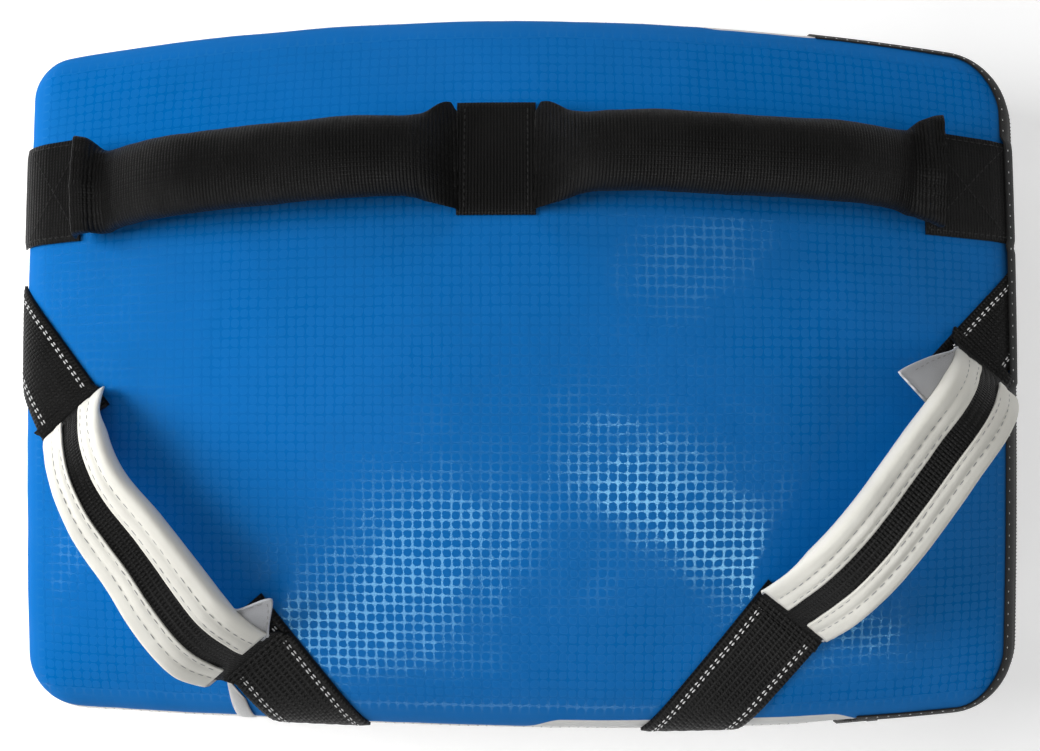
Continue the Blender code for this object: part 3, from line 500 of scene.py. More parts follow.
class Finish:
    """One procedural material, built a node at a time."""

    def __init__(self, name, roughness, specular=0.5, sheen=0.0):
        self.material = bpy.data.materials.new(name)
        self.material.use_nodes = True
        self.tree = self.material.node_tree
        self.shader = self.tree.nodes["Principled BSDF"]
        self.shader.inputs["Roughness"].default_value = roughness
        self.shader.inputs["Specular IOR Level"].default_value = specular
        self.shader.inputs["Sheen Weight"].default_value = sheen
        self.shader.inputs["Sheen Roughness"].default_value = 0.4

    def node(self, kind, inputs=(), output=0, **settings):
        """Add a node with its settings and inputs, by number or name, and give one output."""
        made = self.tree.nodes.new(kind)
        for key, value in settings.items():
            setattr(made, key, value)
        pairs = inputs.items() if isinstance(inputs, dict) else enumerate(inputs)
        for key, value in pairs:
            self.put(made.inputs[key], value)
        return made.outputs[output]

    def put(self, socket, value):
        """Link an output to a socket, or set a value on it."""
        if isinstance(value, bpy.types.NodeSocket):
            self.tree.links.new(value, socket)
        else:
            socket.default_value = value

    def maths(self, operation, *values):
        return self.node("ShaderNodeMath", values, operation=operation)

    def times(self, *values):
        return self.maths("MULTIPLY", *values)

    def wave(self, turns):
        """Half a sine over each whole turn."""
        return self.maths("SINE", self.times(self.maths("FRACT", turns), math.pi))

    def axes(self, where):
        """Parts of a place along X and Y."""
        parts = self.tree.nodes.new("ShaderNodeSeparateXYZ")
        self.put(parts.inputs[0], where)
        return parts.outputs["X"], parts.outputs["Y"]

    def pattern(self):
        """Pattern places, in metres along and across the cloth."""
        return self.node("ShaderNodeUVMap", uv_map="pattern")

    def place(self):
        """Places in the object's own frame."""
        return self.node("ShaderNodeTexCoord", output="Object")

    def noise(self, where, scale, detail=2.0, output=0):
        return self.node("ShaderNodeTexNoise", {"Vector": where, "Scale": scale, "Detail": detail}, output)

    def ramp(self, value, low, high, to_low=0.0, to_high=1.0):
        """Smooth step from one value to another."""
        inputs = (value, low, high, to_low, to_high)
        return self.node("ShaderNodeMapRange", inputs, interpolation_type="SMOOTHSTEP")

    def mixed(self, share, first, second):
        """Mix of two colours."""
        inputs = {0: share, 6: first, 7: second}
        return self.node("ShaderNodeMix", inputs, output=2, data_type="RGBA")

    def bump(self, height, distance, under=None):
        """Relief of a height between 0 and 1 over a distance in metres."""
        inputs = {"Strength": 1.0, "Distance": distance, "Height": height}
        if under is not None:
            inputs["Normal"] = under
        return self.node("ShaderNodeBump", inputs)

    def done(self, colour, roughness=None, normal=None):
        """Link what was made to the shader."""
        self.put(self.shader.inputs["Base Color"], colour)
        if roughness is not None:
            self.put(self.shader.inputs["Roughness"], roughness)
        if normal is not None:
            self.put(self.shader.inputs["Normal"], normal)
        return self.material


SCRIM_PITCH = (0.00565, 0.0053)
SCRIM_SQUARENESS = 2.8


def grey(value, warmth=1.0):
    """Opaque grey, warmer for a warmth over 1."""
    return (value * warmth, value, value / warmth, 1.0)


def scrim(finish, wobble):
    """How near each place is to a thread of the cloth inside the vinyl: 0 in a cell, 1 on a thread."""
    where = finish.pattern()
    drift = finish.noise(where, 55.0, 2.0, "Color")
    drift = finish.node("ShaderNodeVectorMath", (drift, (0.5, 0.5, 0.5)), operation="SUBTRACT")
    drift = finish.node("ShaderNodeVectorMath", {0: drift, "Scale": wobble}, operation="SCALE")
    where = finish.node("ShaderNodeVectorMath", (where, drift), operation="ADD")
    squares = []
    for along, pitch in zip(finish.axes(where), SCRIM_PITCH):
        turns = finish.maths("FRACT", finish.maths("DIVIDE", along, pitch))
        from_middle = finish.maths("ABSOLUTE", finish.maths("SUBTRACT", turns, 0.5))
        squares.append(finish.maths("POWER", finish.times(from_middle, 2.0), SCRIM_SQUARENESS))
    return finish.maths("POWER", finish.maths("ADD", *squares), 1 / SCRIM_SQUARENESS)


def drawn_over(finish, x, y):
    """Where the wall's white vinyl is drawn over the edge of the back in thin tapered strips: 0 or 1."""
    covered = 0.0
    for start, end, side, width in WHITE_STRIPS:
        lead = finish.ramp(x, start, start + STRIP_TAPER)
        tail = finish.ramp(x, end - STRIP_TAPER, end, 1.0, 0.0)
        reach = finish.times(finish.times(lead, tail), width)
        inset = finish.maths("ADD", HALF_WIDTH, finish.times(y, side))
        strip = finish.ramp(finish.maths("SUBTRACT", reach, inset), 0.0, 0.0003)
        covered = finish.maths("MAXIMUM", covered, strip)
    return covered


def coated_cloth(name, cell, thread, gloss_tint, cell_roughness, thread_roughness, relief, edged=False):
    """Glossy vinyl with the squares of its inner cloth showing through."""
    finish = Finish(name, cell_roughness, specular=0.5)
    finish.shader.inputs["Specular Tint"].default_value = gloss_tint
    near = scrim(finish, 0.0016)
    where = finish.place()
    uneven = finish.noise(where, 210.0, 2.0)
    width = finish.ramp(uneven, 0.3, 0.7, -0.10, 0.08)
    on_thread = finish.ramp(finish.maths("ADD", near, width), 0.74, 0.90)
    broad = finish.ramp(finish.noise(where, 9.0, 3.0), 0.35, 0.65)
    tint = finish.mixed(finish.times(on_thread, 0.55), cell, thread)
    worn = tuple(min(1.0, channel * 1.14 + 0.004) for channel in cell[:3]) + (1.0,)
    tint = finish.mixed(finish.times(broad, 0.35), tint, worn)
    if edged:
        x, y = finish.axes(finish.pattern())
        along = finish.maths("SUBTRACT", HALF_LENGTH, finish.maths("ABSOLUTE", x))
        across = finish.maths("SUBTRACT", HALF_WIDTH, finish.maths("ABSOLUTE", y))
        inside = finish.ramp(finish.maths("MINIMUM", along, across), 0.006, 0.018)
        on_thread = finish.times(on_thread, inside)
        tint = finish.mixed(drawn_over(finish, x, y), tint, STRIP_WHITE)
    gloss = finish.ramp(on_thread, 0.0, 1.0, cell_roughness, thread_roughness)
    smudges = finish.ramp(finish.noise(where, 38.0, 4.0), 0.35, 0.75, -0.03, 0.06)
    gloss = finish.maths("ADD", gloss, smudges)
    dome = finish.ramp(near, 0.15, 1.05, 1.0, 0.0)
    normal = finish.bump(dome, relief)
    normal = finish.bump(finish.noise(where, 900.0, 3.0), 0.00003, normal)
    return finish.done(tint, gloss, normal)


def webbing(name, rib, yarn, rib_share, shade, gloss):
    """Black webbing with ribs across it and yarns that pass over and under, with painted shade in the
    valleys between them and painted highlight on their tops.
    """
    finish = Finish(name, gloss, specular=0.21, sheen=0.02)
    x, y = finish.axes(finish.pattern())
    lane = finish.maths("DIVIDE", x, yarn)
    turns = finish.maths("DIVIDE", y, rib)
    shift = finish.times(finish.maths("MODULO", finish.maths("FLOOR", lane), 2.0), 0.5)
    over = finish.wave(finish.maths("ADD", turns, shift))
    checks = finish.times(finish.times(over, finish.wave(lane)), 1 - rib_share)
    height = finish.maths("ADD", checks, finish.times(finish.wave(turns), rib_share))
    fuzz = finish.noise(finish.place(), 1500.0, 2.0)
    faded = finish.ramp(finish.noise(finish.place(), 30.0, 3.0), 0.35, 0.75, 0.0, 0.3)
    # Painted shade and highlight: the colour is darker in the weave's valleys and lighter on the rib and
    # yarn tops; the faded patches at random are the webbing's own tone.
    light = finish.maths("ADD", finish.times(finish.maths("POWER", height, 1.6), 0.75), faded)
    colour = finish.mixed(light, grey(shade * 0.15), grey(shade * 2.8, 1.03))
    normal = finish.bump(fuzz, 0.00008, finish.bump(height, 0.00055))
    rough = finish.ramp(fuzz, 0.3, 0.7, gloss - 0.08, gloss + 0.12)
    return finish.done(colour, rough, normal)


def plain_vinyl(name, colour, gloss):
    """Off-white vinyl with a fine grain and faint handling marks."""
    finish = Finish(name, gloss, specular=0.45)
    where = finish.place()
    grain = finish.node("ShaderNodeTexVoronoi", {"Vector": where, "Scale": 1300.0}, output="Distance")
    marks = finish.ramp(finish.noise(where, 26.0, 4.0), 0.42, 0.72)
    darker = tuple(channel * 0.88 for channel in colour[:3]) + (1.0,)
    tint = finish.mixed(finish.times(marks, 0.4), colour, darker)
    rough = finish.ramp(finish.noise(where, 60.0, 3.0), 0.3, 0.7, gloss - 0.06, gloss + 0.08)
    normal = finish.bump(grain, 0.00005)
    normal = finish.bump(finish.noise(where, 90.0, 2.0), 0.0004, normal)
    return finish.done(tint, rough, normal)


def thread(name, light, dark):
    """Sewing thread, with the twist of its plies."""
    finish = Finish(name, 0.6, specular=0.3, sheen=0.2)
    where = finish.place()
    plies = finish.noise(where, 2600.0, 1.0)
    colour = finish.mixed(plies, dark, light)
    return finish.done(colour, None, finish.bump(plies, 0.0001))


def woven(name, shade, pitch, gloss, sheen):
    """Plain close cloth, with painted shade in the hollows of its weave."""
    finish = Finish(name, gloss, specular=0.3, sheen=sheen)
    waves = []
    for along in finish.axes(finish.pattern()):
        waves.append(finish.maths("SINE", finish.times(finish.maths("DIVIDE", along, pitch), 2 * math.pi)))
    height = finish.ramp(finish.times(*waves), -1.0, 1.0)
    dark = tuple(channel * 0.6 for channel in shade[:3]) + (1.0,)
    faded = finish.ramp(finish.noise(finish.place(), 40.0, 3.0), 0.4, 0.8, 0.0, 0.3)
    # Painted shade: the colour is darker where the weave is low, in its hollows; the faded patches at
    # random are the cloth's own tone.
    colour = finish.mixed(faded, finish.mixed(height, dark, shade), dark)
    return finish.done(colour, None, finish.bump(height, 0.00012))


def moulded(name, shade, gloss, metallic=0.0):
    """Plastic or painted metal with fine scratches and rubbed places."""
    finish = Finish(name, gloss)
    finish.shader.inputs["Metallic"].default_value = metallic
    where = finish.place()
    rubbed = finish.ramp(finish.noise(where, 420.0, 4.0), 0.5, 0.75)
    light = tuple(min(1.0, channel * 2.2) for channel in shade[:3]) + (1.0,)
    colour = finish.mixed(finish.times(rubbed, 0.5), shade, light)
    rough = finish.ramp(finish.noise(where, 1100.0, 3.0), 0.3, 0.7, gloss - 0.08, gloss + 0.12)
    return finish.done(colour, rough, finish.bump(finish.noise(where, 1800.0, 2.0), 0.00004))


# White strips along the back's edge: start, end, 1 below or -1 above, and width
WHITE_STRIPS = (
    (0.000, ZIP_BOTTOM_X + 0.010, 1, 0.0062),
    (-0.034, 0.018, -1, 0.0016),
    (0.100, ZIP_TOP_X + 0.020, -1, 0.0036),
)
STRIP_TAPER = 0.025
STRIP_WHITE = grey(0.72, 1.02)
BLUE = (0.0, 0.130, 0.44, 1.0)
BLUE_ON_THREAD = (0.0, 0.126, 0.425, 1.0)
BLUE_GLOSS = (0.42, 0.85, 1.0, 1.0)
BLUE_VINYL = coated_cloth(
    "blue_coated_cloth",
    BLUE,
    BLUE_ON_THREAD,
    BLUE_GLOSS,
    cell_roughness=0.95,
    thread_roughness=0.19,
    relief=0.00005,
    edged=True,
)
WHITE_VINYL = coated_cloth(
    "white_coated_cloth",
    grey(0.66, 1.02),
    grey(0.52, 1.01),
    grey(1.0),
    cell_roughness=0.42,
    thread_roughness=0.26,
    relief=0.00012,
)
TUBE_WEBBING = webbing(
    "fine_black_webbing", rib=0.0019, yarn=0.00095, rib_share=0.7, shade=0.0033, gloss=0.52
)
STRAP_WEBBING = webbing(
    "ribbed_black_webbing", rib=0.0024, yarn=0.0022, rib_share=0.4, shade=0.0036, gloss=0.55
)
SLEEVE_VINYL = plain_vinyl("sleeve_vinyl", (0.76, 0.745, 0.68, 1.0), 0.46)
SLEEVE_BACK = woven("sleeve_backing", (0.62, 0.63, 0.66, 1.0), pitch=0.0006, gloss=0.8, sheen=0.2)
LINING = woven("black_lining", grey(0.012), pitch=0.0008, gloss=0.8, sheen=0.2)
TAPE = woven("zip_tape_cloth", grey(0.010), pitch=0.0009, gloss=0.72, sheen=0.1)
SATIN = woven("white_satin_cloth", grey(0.82), pitch=0.0005, gloss=0.35, sheen=0.1)
WHITE_THREAD = thread("white_white_dots", grey(0.86), grey(0.5))
GREY_THREAD = thread("grey_white_dots", grey(0.42), grey(0.22))
BLACK_THREAD = thread("black_white_dots", grey(0.03), grey(0.006))
COIL_PLASTIC = moulded("coil_plastic", grey(0.012), gloss=0.35)
ZIP_METAL = moulded("black_painted_metal", grey(0.03), gloss=0.35, metallic=0.6)


# Stuffed cover

COVER_CELL = 0.006
COVER_INSETS = (0.0, 0.0012, 0.0032, 0.0058, 0.0095, 0.014, 0.020)
WALL_ROWS = (0.0, 0.012, 0.04, 0.08, 0.13, 0.19, *(0.26 + 0.07 * k for k in range(10)), 0.95, 0.985, 1.0)
FRAMES = 20
PRESSURE = 4.0
SWELL_CAP = 0.0026
HOLD_REACH = 0.012
BROAD_RIPPLE = 0.0005
FINE_RIPPLE = 0.00016


def grid_lines(half):
    """Places of the cover's grid lines, close together at the edge roll."""
    inner = half - COVER_INSETS[-1]
    count = round(2 * inner / COVER_CELL)
    middle = [-inner + 2 * inner * k / count for k in range(1, count)]
    first = [-half + inset for inset in COVER_INSETS]
    return first + middle + [-place for place in reversed(first)]


def rounded(x, y):
    """Grid point moved in from the square corner to the panel's round one."""
    radius = corner_radius(x, y)
    a = abs(x) - HALF_LENGTH + radius
    b = abs(y) - HALF_WIDTH + radius
    if a <= 0 or b <= 0:
        return Vector((x, y))
    reach = max(a, b)
    turn = math.pi / 4 * (b / a if a >= b else 2 - a / b)
    across = HALF_LENGTH - radius + reach * math.cos(turn)
    up = HALF_WIDTH - radius + reach * math.sin(turn)
    return Vector((math.copysign(across, x), math.copysign(up, y)))


def front_point(place):
    """Point of the striking face over a point of the cut panel."""
    share = min(inset_from_seam(*place) / FRONT_EDGE_WIDTH, 1.0)
    height = FRONT_SEAM_HEIGHT * (1 - math.sqrt(max(1 - (1 - share) ** 2, 0.0)))
    return Vector((*bowed(*place), height))


def make_cover():
    """Blue back and white walls and front over the foam."""
    xs = grid_lines(HALF_LENGTH)
    ys = grid_lines(HALF_WIDTH)
    plan = [[rounded(x, y) for x in xs] for y in ys]
    marks = [[tuple(place) for place in row] for row in plan]
    skin = Skin()
    skin.grid([[back_surface(*place) for place in row] for row in plan], marks)
    skin.grid([[front_point(place) for place in row] for row in plan], marks, 1)
    rim = plan[0][:-1] + [row[-1] for row in plan[:-1]] + plan[-1][:0:-1] + [row[0] for row in plan[:0:-1]]
    stations = sorted(seam_distance(*place) for place in rim)
    stations.append(stations[0] + SEAM_LENGTH)
    depths = [[(s, wall_height(s) * share) for s in stations] for share in WALL_ROWS]
    skin.grid([[wall_point(*place) for place in row] for row in depths], depths, 1)
    cover = skin.make("cover", BLUE_VINYL, WHITE_VINYL)
    inflate(cover)
    cover.modifiers.new("fine", "SUBSURF").levels = 1
    apply_modifiers(cover)
    ripple_surface(cover)
    back, rest = split_by_material(cover)
    keep(back, "pad", "blue_vinyl", "back_panel", "core_back_layer")
    walls = ("side_wall_main", "side_wall_zip_end", "front_panel", "core_front_layer", "core_middle_layer")
    keep(rest, "pad", "white_vinyl", *walls)


def strap_hold(place):
    """How firmly a strap holds the cover down at a point of the cut panel, from 0 to 1."""
    firm = 0.0
    patches = ((-HALF_LENGTH, LEFT_LOOP_ENDS[0]), CENTRE_PATCH_ENDS, (RIGHT_LOOP_ENDS[1], HALF_LENGTH))
    for start, end in patches:
        aside = max(start - place.x, place.x - end, 0.0)
        over = max(abs(place.y - STRAP_LINE_Y) - STRAP_WIDTH / 2, 0.0)
        firm = max(firm, fade(math.hypot(aside, over), HOLD_REACH))
    for point, degrees, length in DIAGONALS:
        heading = direction(math.radians(degrees))
        across = abs((place - point).cross(heading))
        beyond = (place - point).dot(heading) - length
        outside = math.hypot(max(across - GRIP_STRAP_WIDTH / 2, 0.0), max(beyond, 0.0))
        firm = max(firm, fade(outside, HOLD_REACH))
    return firm


def hold(point):
    """How firmly the seams, straps and zip hold a point of the cover."""
    height = point.z - FRONT_SEAM_HEIGHT
    if height < 0.004:
        return 1.0
    place = Vector((point.x, point.y / (1 + 0.08 * (1 - (point.x / HALF_LENGTH) ** 2))))
    inset = inset_from_seam(place.x, place.y)
    if inset > 0.010:
        return strap_hold(place)
    if point.z > BACK_SEAM_HEIGHT - 0.002:
        return 1.0
    zipped = point.x > ZIP_TOP_X - 0.03
    down = (BACK_SEAM_HEIGHT - point.z) / BACK_SEAM_HEIGHT
    return 1 - smooth(down / 0.3) * smooth(height / 0.012) * (0.3 if zipped else 1.0)


def inflate(made):
    """Let air pressure swell the cover between what holds it, by no more than a few millimetres."""
    firm = [hold(point.co) for point in made.data.vertices]
    before = [point.co.copy() for point in made.data.vertices]
    pinned = made.vertex_groups.new(name="pinned")
    for number, share in enumerate(firm):
        pinned.add([number], share, "REPLACE")
    cloth = made.modifiers.new("cloth", "CLOTH")
    cloth.settings.quality = 4
    cloth.settings.mass = 0.4
    cloth.settings.tension_stiffness = 25
    cloth.settings.compression_stiffness = 25
    cloth.settings.bending_stiffness = 2.0
    cloth.settings.use_pressure = True
    cloth.settings.uniform_pressure_force = PRESSURE
    cloth.settings.vertex_group_mass = "pinned"
    cloth.settings.effector_weights.gravity = 0
    cloth.collision_settings.use_collision = False
    cloth.point_cache.frame_end = FRAMES
    for frame_number in range(1, FRAMES + 1):
        bpy.context.scene.frame_set(frame_number)
    apply_modifiers(made)
    bpy.context.scene.frame_set(1)
    places = []
    for point, start, share in zip(made.data.vertices, before, firm):
        move = point.co - start
        reach = move.length
        if reach > 0:
            move *= SWELL_CAP * math.tanh(reach / SWELL_CAP) / reach
        places.extend(start + move * (1 - share))
    made.data.vertices.foreach_set("co", places)
    made.data.update()
    made.vertex_groups.clear()


def ripple_surface(made):
    """Give the cover the slight unevenness of stuffed vinyl."""
    normals = [normal.vector.copy() for normal in made.data.vertex_normals]
    places = []
    for point, normal in zip(made.data.vertices, normals):
        where = point.co.copy()
        if where.z > 0.012:
            broad = noise.noise(where * 22.0) * BROAD_RIPPLE
            fine = noise.noise(where * 75.0 + Vector((3, 1, 2))) * FINE_RIPPLE
            where += normal * (broad + fine)
        places.extend(where)
    made.data.vertices.foreach_set("co", places)
    made.data.update()


def split_by_material(made):
    """Part the blue back from the white walls and front."""
    other = twin(made)
    finishes = (BLUE_VINYL, WHITE_VINYL)
    for kept, (piece, name) in enumerate(((made, "cover_back"), (other, "cover_walls_and_front"))):
        cut_away(piece, lambda face: face.material_index != kept)
        piece.name = name
        piece.data.materials.clear()
        piece.data.materials.append(finishes[kept])
        piece.data.polygons.foreach_set("material_index", [0] * len(piece.data.polygons))
    return made, other


# Sewing

# Kinds of stitches: pitch, length, width, height and lift
PATCH_STITCH = (0.0042, 0.0030, 0.0007, 0.0006, 0.0)
ANCHOR_STITCH = (0.0046, 0.0027, 0.0010, 0.0009, 0.0001)
SLEEVE_STITCH = (0.0066, 0.0044, 0.0006, 0.0005, 0.0)
LIP_STITCH = (0.0050, 0.0032, 0.0006, 0.0005, 0.0002)
ZIP_STITCH = (0.0068, 0.0012, 0.0007, 0.0005, 0.0)
STITCH_JITTER = 0.08


def add_stitch(skin, centre, along, up, length, width, height):
    """Add one rounded stitch to a skin."""
    aside = along.cross(up).normalized()
    sides = 6
    rows = []
    for share, girth in ((-1.0, 0.05), (-0.72, 0.75), (0.0, 1.0), (0.72, 0.75), (1.0, 0.05)):
        row = []
        for side in range(sides + 1):
            turn = 2 * math.pi * side / sides
            out = aside * math.cos(turn) * width / 2 * girth + up * math.sin(turn) * height / 2 * girth
            row.append(centre + along * share * length / 2 + out)
        rows.append(row)
    skin.grid(rows, [[(0.0, 0.0)] * (sides + 1)] * len(rows))


def sew(skin, path, kind):
    """Add a row of stitches along a path of points and their outward directions."""
    pitch, length, width, height, lift = kind
    travelled = 0.0
    due = pitch / 2
    for (here, up), (after, next_up) in zip(path, path[1:]):
        step = (after - here).length
        while travelled + step >= due:
            share = (due - travelled) / step
            outward = up.lerp(next_up, share).normalized()
            along = (after - here).normalized()
            askew = random.uniform(-STITCH_JITTER, STITCH_JITTER)
            along = (along + along.cross(outward) * askew).normalized()
            size = length * random.uniform(0.88, 1.1)
            add_stitch(skin, here.lerp(after, share) + outward * lift, along, outward, size, width, height)
            due += pitch
        travelled += step


def back_path(start, end, lift):
    """Points and outward directions over the back, straight between two cut places."""
    path = []
    steps = 60
    for step in range(steps + 1):
        place = Vector(start).lerp(Vector(end), step / steps)
        path.append((on_back(*place, lift), back_normal(*place)))
    return path


# Forearm strap

LOOP_SIDES = 48
LOOP_ROUNDNESS = 0.84
OUTER_FLARE = 0.010
LEFT_OVERHANG = 0.057
RIGHT_OVERHANG = 0.034
LEFT_SLANT = 0.0085
RIGHT_RISE = 0.0022
RIGHT_FLARE = 0.008
LEFT_TUCK = 0.0115
RIGHT_TUCK = 0.0017
CENTRE_LAP = 0.0012
PATCH_SHIFTS = (-0.0018, 0.0014, 0.0)
PATCH_SEWING = STRAP_WIDTH / 2 - 0.003
PATCH_STEP = 0.0016
EAR_OUT = 0.0036
EAR_UP = 0.0055
GATHER = 0.0007
LUMP = 0.030
CREASE = 0.012

# Shares of a loop's span over which its ends take shape
OUTER_FLARE_REACH = 0.16
INNER_FLARE_REACH = 0.15
RIGHT_FLARE_REACH = 0.10
RIGHT_RISE_REACH = 0.2
TIP_REACH = 0.014
LEFT_UPRIGHT_REACH = 0.030
RIGHT_UPRIGHT_REACH = 0.012
INNER_UPRIGHT_REACH = 0.10
PATCH_REACH = 0.03
SETTLED_REACH = 0.12


def loop_arch(side, ends):
    """Path of a forearm loop between two sewn patches, and how its outer end hangs over."""
    start, end = (Vector((x, STRAP_LINE_Y)) for x in ends)
    arch = Arch(start, end, GAP, LOOP_RAISE, LOOP_SQUARENESS, LOOP_LEAN)
    arch.outer_first = side == "left"
    arch.overhang = LEFT_OVERHANG if arch.outer_first else RIGHT_OVERHANG
    arch.upright = LEFT_UPRIGHT_REACH if arch.outer_first else RIGHT_UPRIGHT_REACH
    arch.phase = 1.7 if arch.outer_first else 8.3
    return arch


def loop_section(arch, share):
    """Width, height, middle, slant, ears and fullness of a loop's section."""
    outer = share if arch.outer_first else 1 - share
    inner = 1 - outer
    from_tip = max(outer + arch.overhang, 0.0)
    flare = OUTER_FLARE * fade(from_tip, OUTER_FLARE_REACH)
    flare += (STRAP_WIDTH - LOOP_WIDTH) * fade(inner, INNER_FLARE_REACH) ** 1.3
    width = (LOOP_WIDTH + flare) * (1 - 0.14 * fade(from_tip, TIP_REACH))
    if arch.outer_first:
        slant = LEFT_SLANT * (1 - share) ** 1.5
    else:
        spread = RIGHT_FLARE * fade(from_tip, RIGHT_FLARE_REACH)
        width += spread
        slant = spread / 2 - RIGHT_RISE * smooth(share / RIGHT_RISE_REACH)
    upright = smooth(from_tip / arch.upright)
    height = min(0.10 + 0.90 * upright, 0.14 + 0.86 * smooth(inner / INNER_UPRIGHT_REACH) ** 0.7)
    height *= LOOP_THICKNESS
    off_patch = 2 * WEBBING * fade(outer, PATCH_REACH) + 0.0003
    rise = arch.rise(min(max(share, 0.0), 1.0))
    middle = max(rise, height / 2 + off_patch) - arch.rise(share)
    ears = smooth(inner / 0.012) * fade(inner - 0.02, 0.07) + upright * fade(from_tip - 0.06, 0.04)
    return width, height, middle, slant, ears, smooth(min(outer, inner) / SETTLED_REACH)


def loop_ring(arch, share):
    """Points round a padded loop, flat where it leaves its patches and oval between them."""
    width, height, middle, slant, ears, settled = loop_section(arch, share)
    ring = []
    for side in range(LOOP_SIDES + 1):
        turn = 2 * math.pi * side / LOOP_SIDES
        c, s = math.cos(turn), math.sin(turn)
        across = math.copysign(abs(c) ** LOOP_ROUNDNESS, c) * width / 2
        up = math.copysign(abs(s) ** LOOP_ROUNDNESS, s) * height / 2
        lump = noise.noise(Vector((share * 9.0 + arch.phase, c * 1.4, s * 1.4)))
        crease = noise.noise(Vector((share * 34.0 + arch.phase, c * 2.2, s * 2.2)))
        grow = 1 + (LUMP * lump + CREASE * crease) * settled
        gather = GATHER * math.sin(across * 900.0 + arch.phase) * (1 - settled) * abs(s)
        across = across * grow - EAR_OUT * ears * max(-c, 0.0) ** 6
        up = up * grow + EAR_UP * ears * abs(c) ** 5 + gather + middle
        ring.append(arch.point(share, across + slant, up))
    return ring


def loop_piece(name, arch, start, end, count):
    """Closed piece of a loop between two shares."""
    around = math.pi * (LOOP_WIDTH + LOOP_THICKNESS) / 2
    rows, marks = [], []
    for number in range(count):
        share = start + (end - start) * number / (count - 1)
        rows.append(loop_ring(arch, share))
        marks.append([(around * side / LOOP_SIDES, share * arch.span) for side in range(LOOP_SIDES + 1)])
    skin = Skin()
    skin.grid(rows, marks, loop_kind)
    for row in (rows[0], rows[-1]):
        centre = sum(row[:-1], Vector()) / (len(row) - 1)
        skin.grid([row, [centre] * len(row)], [[(0.0, 0.0)] * len(row)] * 2, 1)
    return skin.make(name, TUBE_WEBBING, LINING)


def loop_kind(_, side):
    """Webbing over a loop's top and sides, and lining under it."""
    turn = 360 * (side + 0.5) / LOOP_SIDES
    return 1 if 206 < turn < 334 else 0


def make_loop(side, ends):
    """Padded forearm loop, and the two mouths by which it leaves its patches."""
    arch = loop_arch(side, ends)
    body = side + "_loop"
    tube = loop_piece(body + "_tube", arch, LOOP_CUT, 1 - LOOP_CUT, 74)
    nodes = [body + part for part in ("_webbing", "_foam", "_lining")]
    turn_with_ends(tube, arch, body, LOOP_TURN, "black_webbing", *nodes, fill=0.75)
    first = -arch.overhang if arch.outer_first else 0.0
    last = 1.0 if arch.outer_first else 1 + arch.overhang
    for label, edge, sign, tip in (("low_x", 0.0, 1, first), ("high_x", 1.0, -1, last)):
        mouth = loop_piece(f"{body}_mouth_{label}", arch, tip, edge + sign * LOOP_CUT, 30)
        turn_at_end(mouth, arch, body, edge, edge + sign * LOOP_TURN)
        keep(mouth, None, "black_webbing")


def make_patch(name, node, start, end, shift, cut=0):
    """Flat piece of the forearm strap on the back, cut along the cover's low or high end if wanted."""
    steps = max(4, round(abs(end - start) / PATCH_STEP))
    lanes = 24
    rows = []
    for step in range(steps + 1):
        row = []
        for lane in range(lanes + 1):
            aside = (lane / lanes - 0.5) * STRAP_WIDTH
            x = start + (end - start) * step / steps
            y = STRAP_LINE_Y + shift - aside
            if cut:
                x = cut * min(cut * x, cut_at(y, cut))
            rim = fade(min(lane, lanes - lane), 2)
            over = on_back(x, y, STRAP_LIFT + WEBBING * (1 - 0.35 * rim))
            row.append((over, on_back(x, y, STRAP_LIFT), (aside, x)))
        rows.append(row)
    keep(ribbon(name, TUBE_WEBBING, rows), "pad", "black_webbing", node)


def cut_at(y, side):
    """How far from the middle the forearm strap's end meets the seam, or the zip tape."""
    inset = SEAM_INSET if side < 0 else UNDER_TAPE_INSET
    return reach_inside(HALF_LENGTH, inset, lambda reach: (side * reach, y))


def crossed_box(shift, first, last, upright):
    """Lines of stitches that hold a strap's end: a cross, an upright and two sides."""
    top, bottom = (STRAP_LINE_Y + shift + side * PATCH_SEWING for side in (1, -1))
    cross = [((first, bottom), (last, top)), ((first, top), (last, bottom))]
    sides = [((first, y), (last, y)) for y in (top, bottom)]
    return [*cross, ((upright, top), (upright, bottom)), *sides]


def make_forearm_strap():
    """Loops, patches and their sewing."""
    make_loop("left", LEFT_LOOP_ENDS)
    make_loop("right", RIGHT_LOOP_ENDS)
    left_shift, centre_shift, right_shift = PATCH_SHIFTS
    left_end = LEFT_LOOP_ENDS[0] - LEFT_TUCK
    right_end = RIGHT_LOOP_ENDS[1] + RIGHT_TUCK
    start, end = CENTRE_PATCH_ENDS
    make_patch("strap_left_end", "strap_patch_left", -HALF_LENGTH, left_end, left_shift, -1)
    make_patch("strap_centre", "strap_patch_centre", start - CENTRE_LAP, end + CENTRE_LAP, centre_shift)
    make_patch("strap_right_end", "strap_patch_right", right_end, HALF_LENGTH, right_shift, 1)
    middle = STRAP_LINE_Y + centre_shift
    uprights = (start + 0.0035, end - 0.0035)
    lines = [((x, middle + PATCH_SEWING), (x, middle - PATCH_SEWING)) for x in uprights]
    outer, inner = -HALF_LENGTH + 0.006, left_end - 0.0015
    lines += crossed_box(left_shift, outer, inner, inner)
    inner, outer = right_end + 0.0015, HALF_LENGTH - 0.009
    lines += crossed_box(right_shift, inner, outer, inner)
    sewing = Skin()
    for line in lines:
        sew(sewing, back_path(*line, STRAP_LIFT + WEBBING), PATCH_STITCH)
    keep(sewing.make("forearm_strap_stitches", BLACK_THREAD), "pad", "black_webbing")


# Diagonal straps

RIB_PITCH = 0.0024
RIB_HEIGHT = 0.00035
EDGE_NOTCH = 0.00045
RIB_STEP = RIB_PITCH / 4
LANES = 22
UPPER_TAPER = 0.74
LOWER_TAPER = 0.92
ANCHOR_SEWING_INSET = 0.0062
ANCHOR_ROW_SPLIT = 0.0009


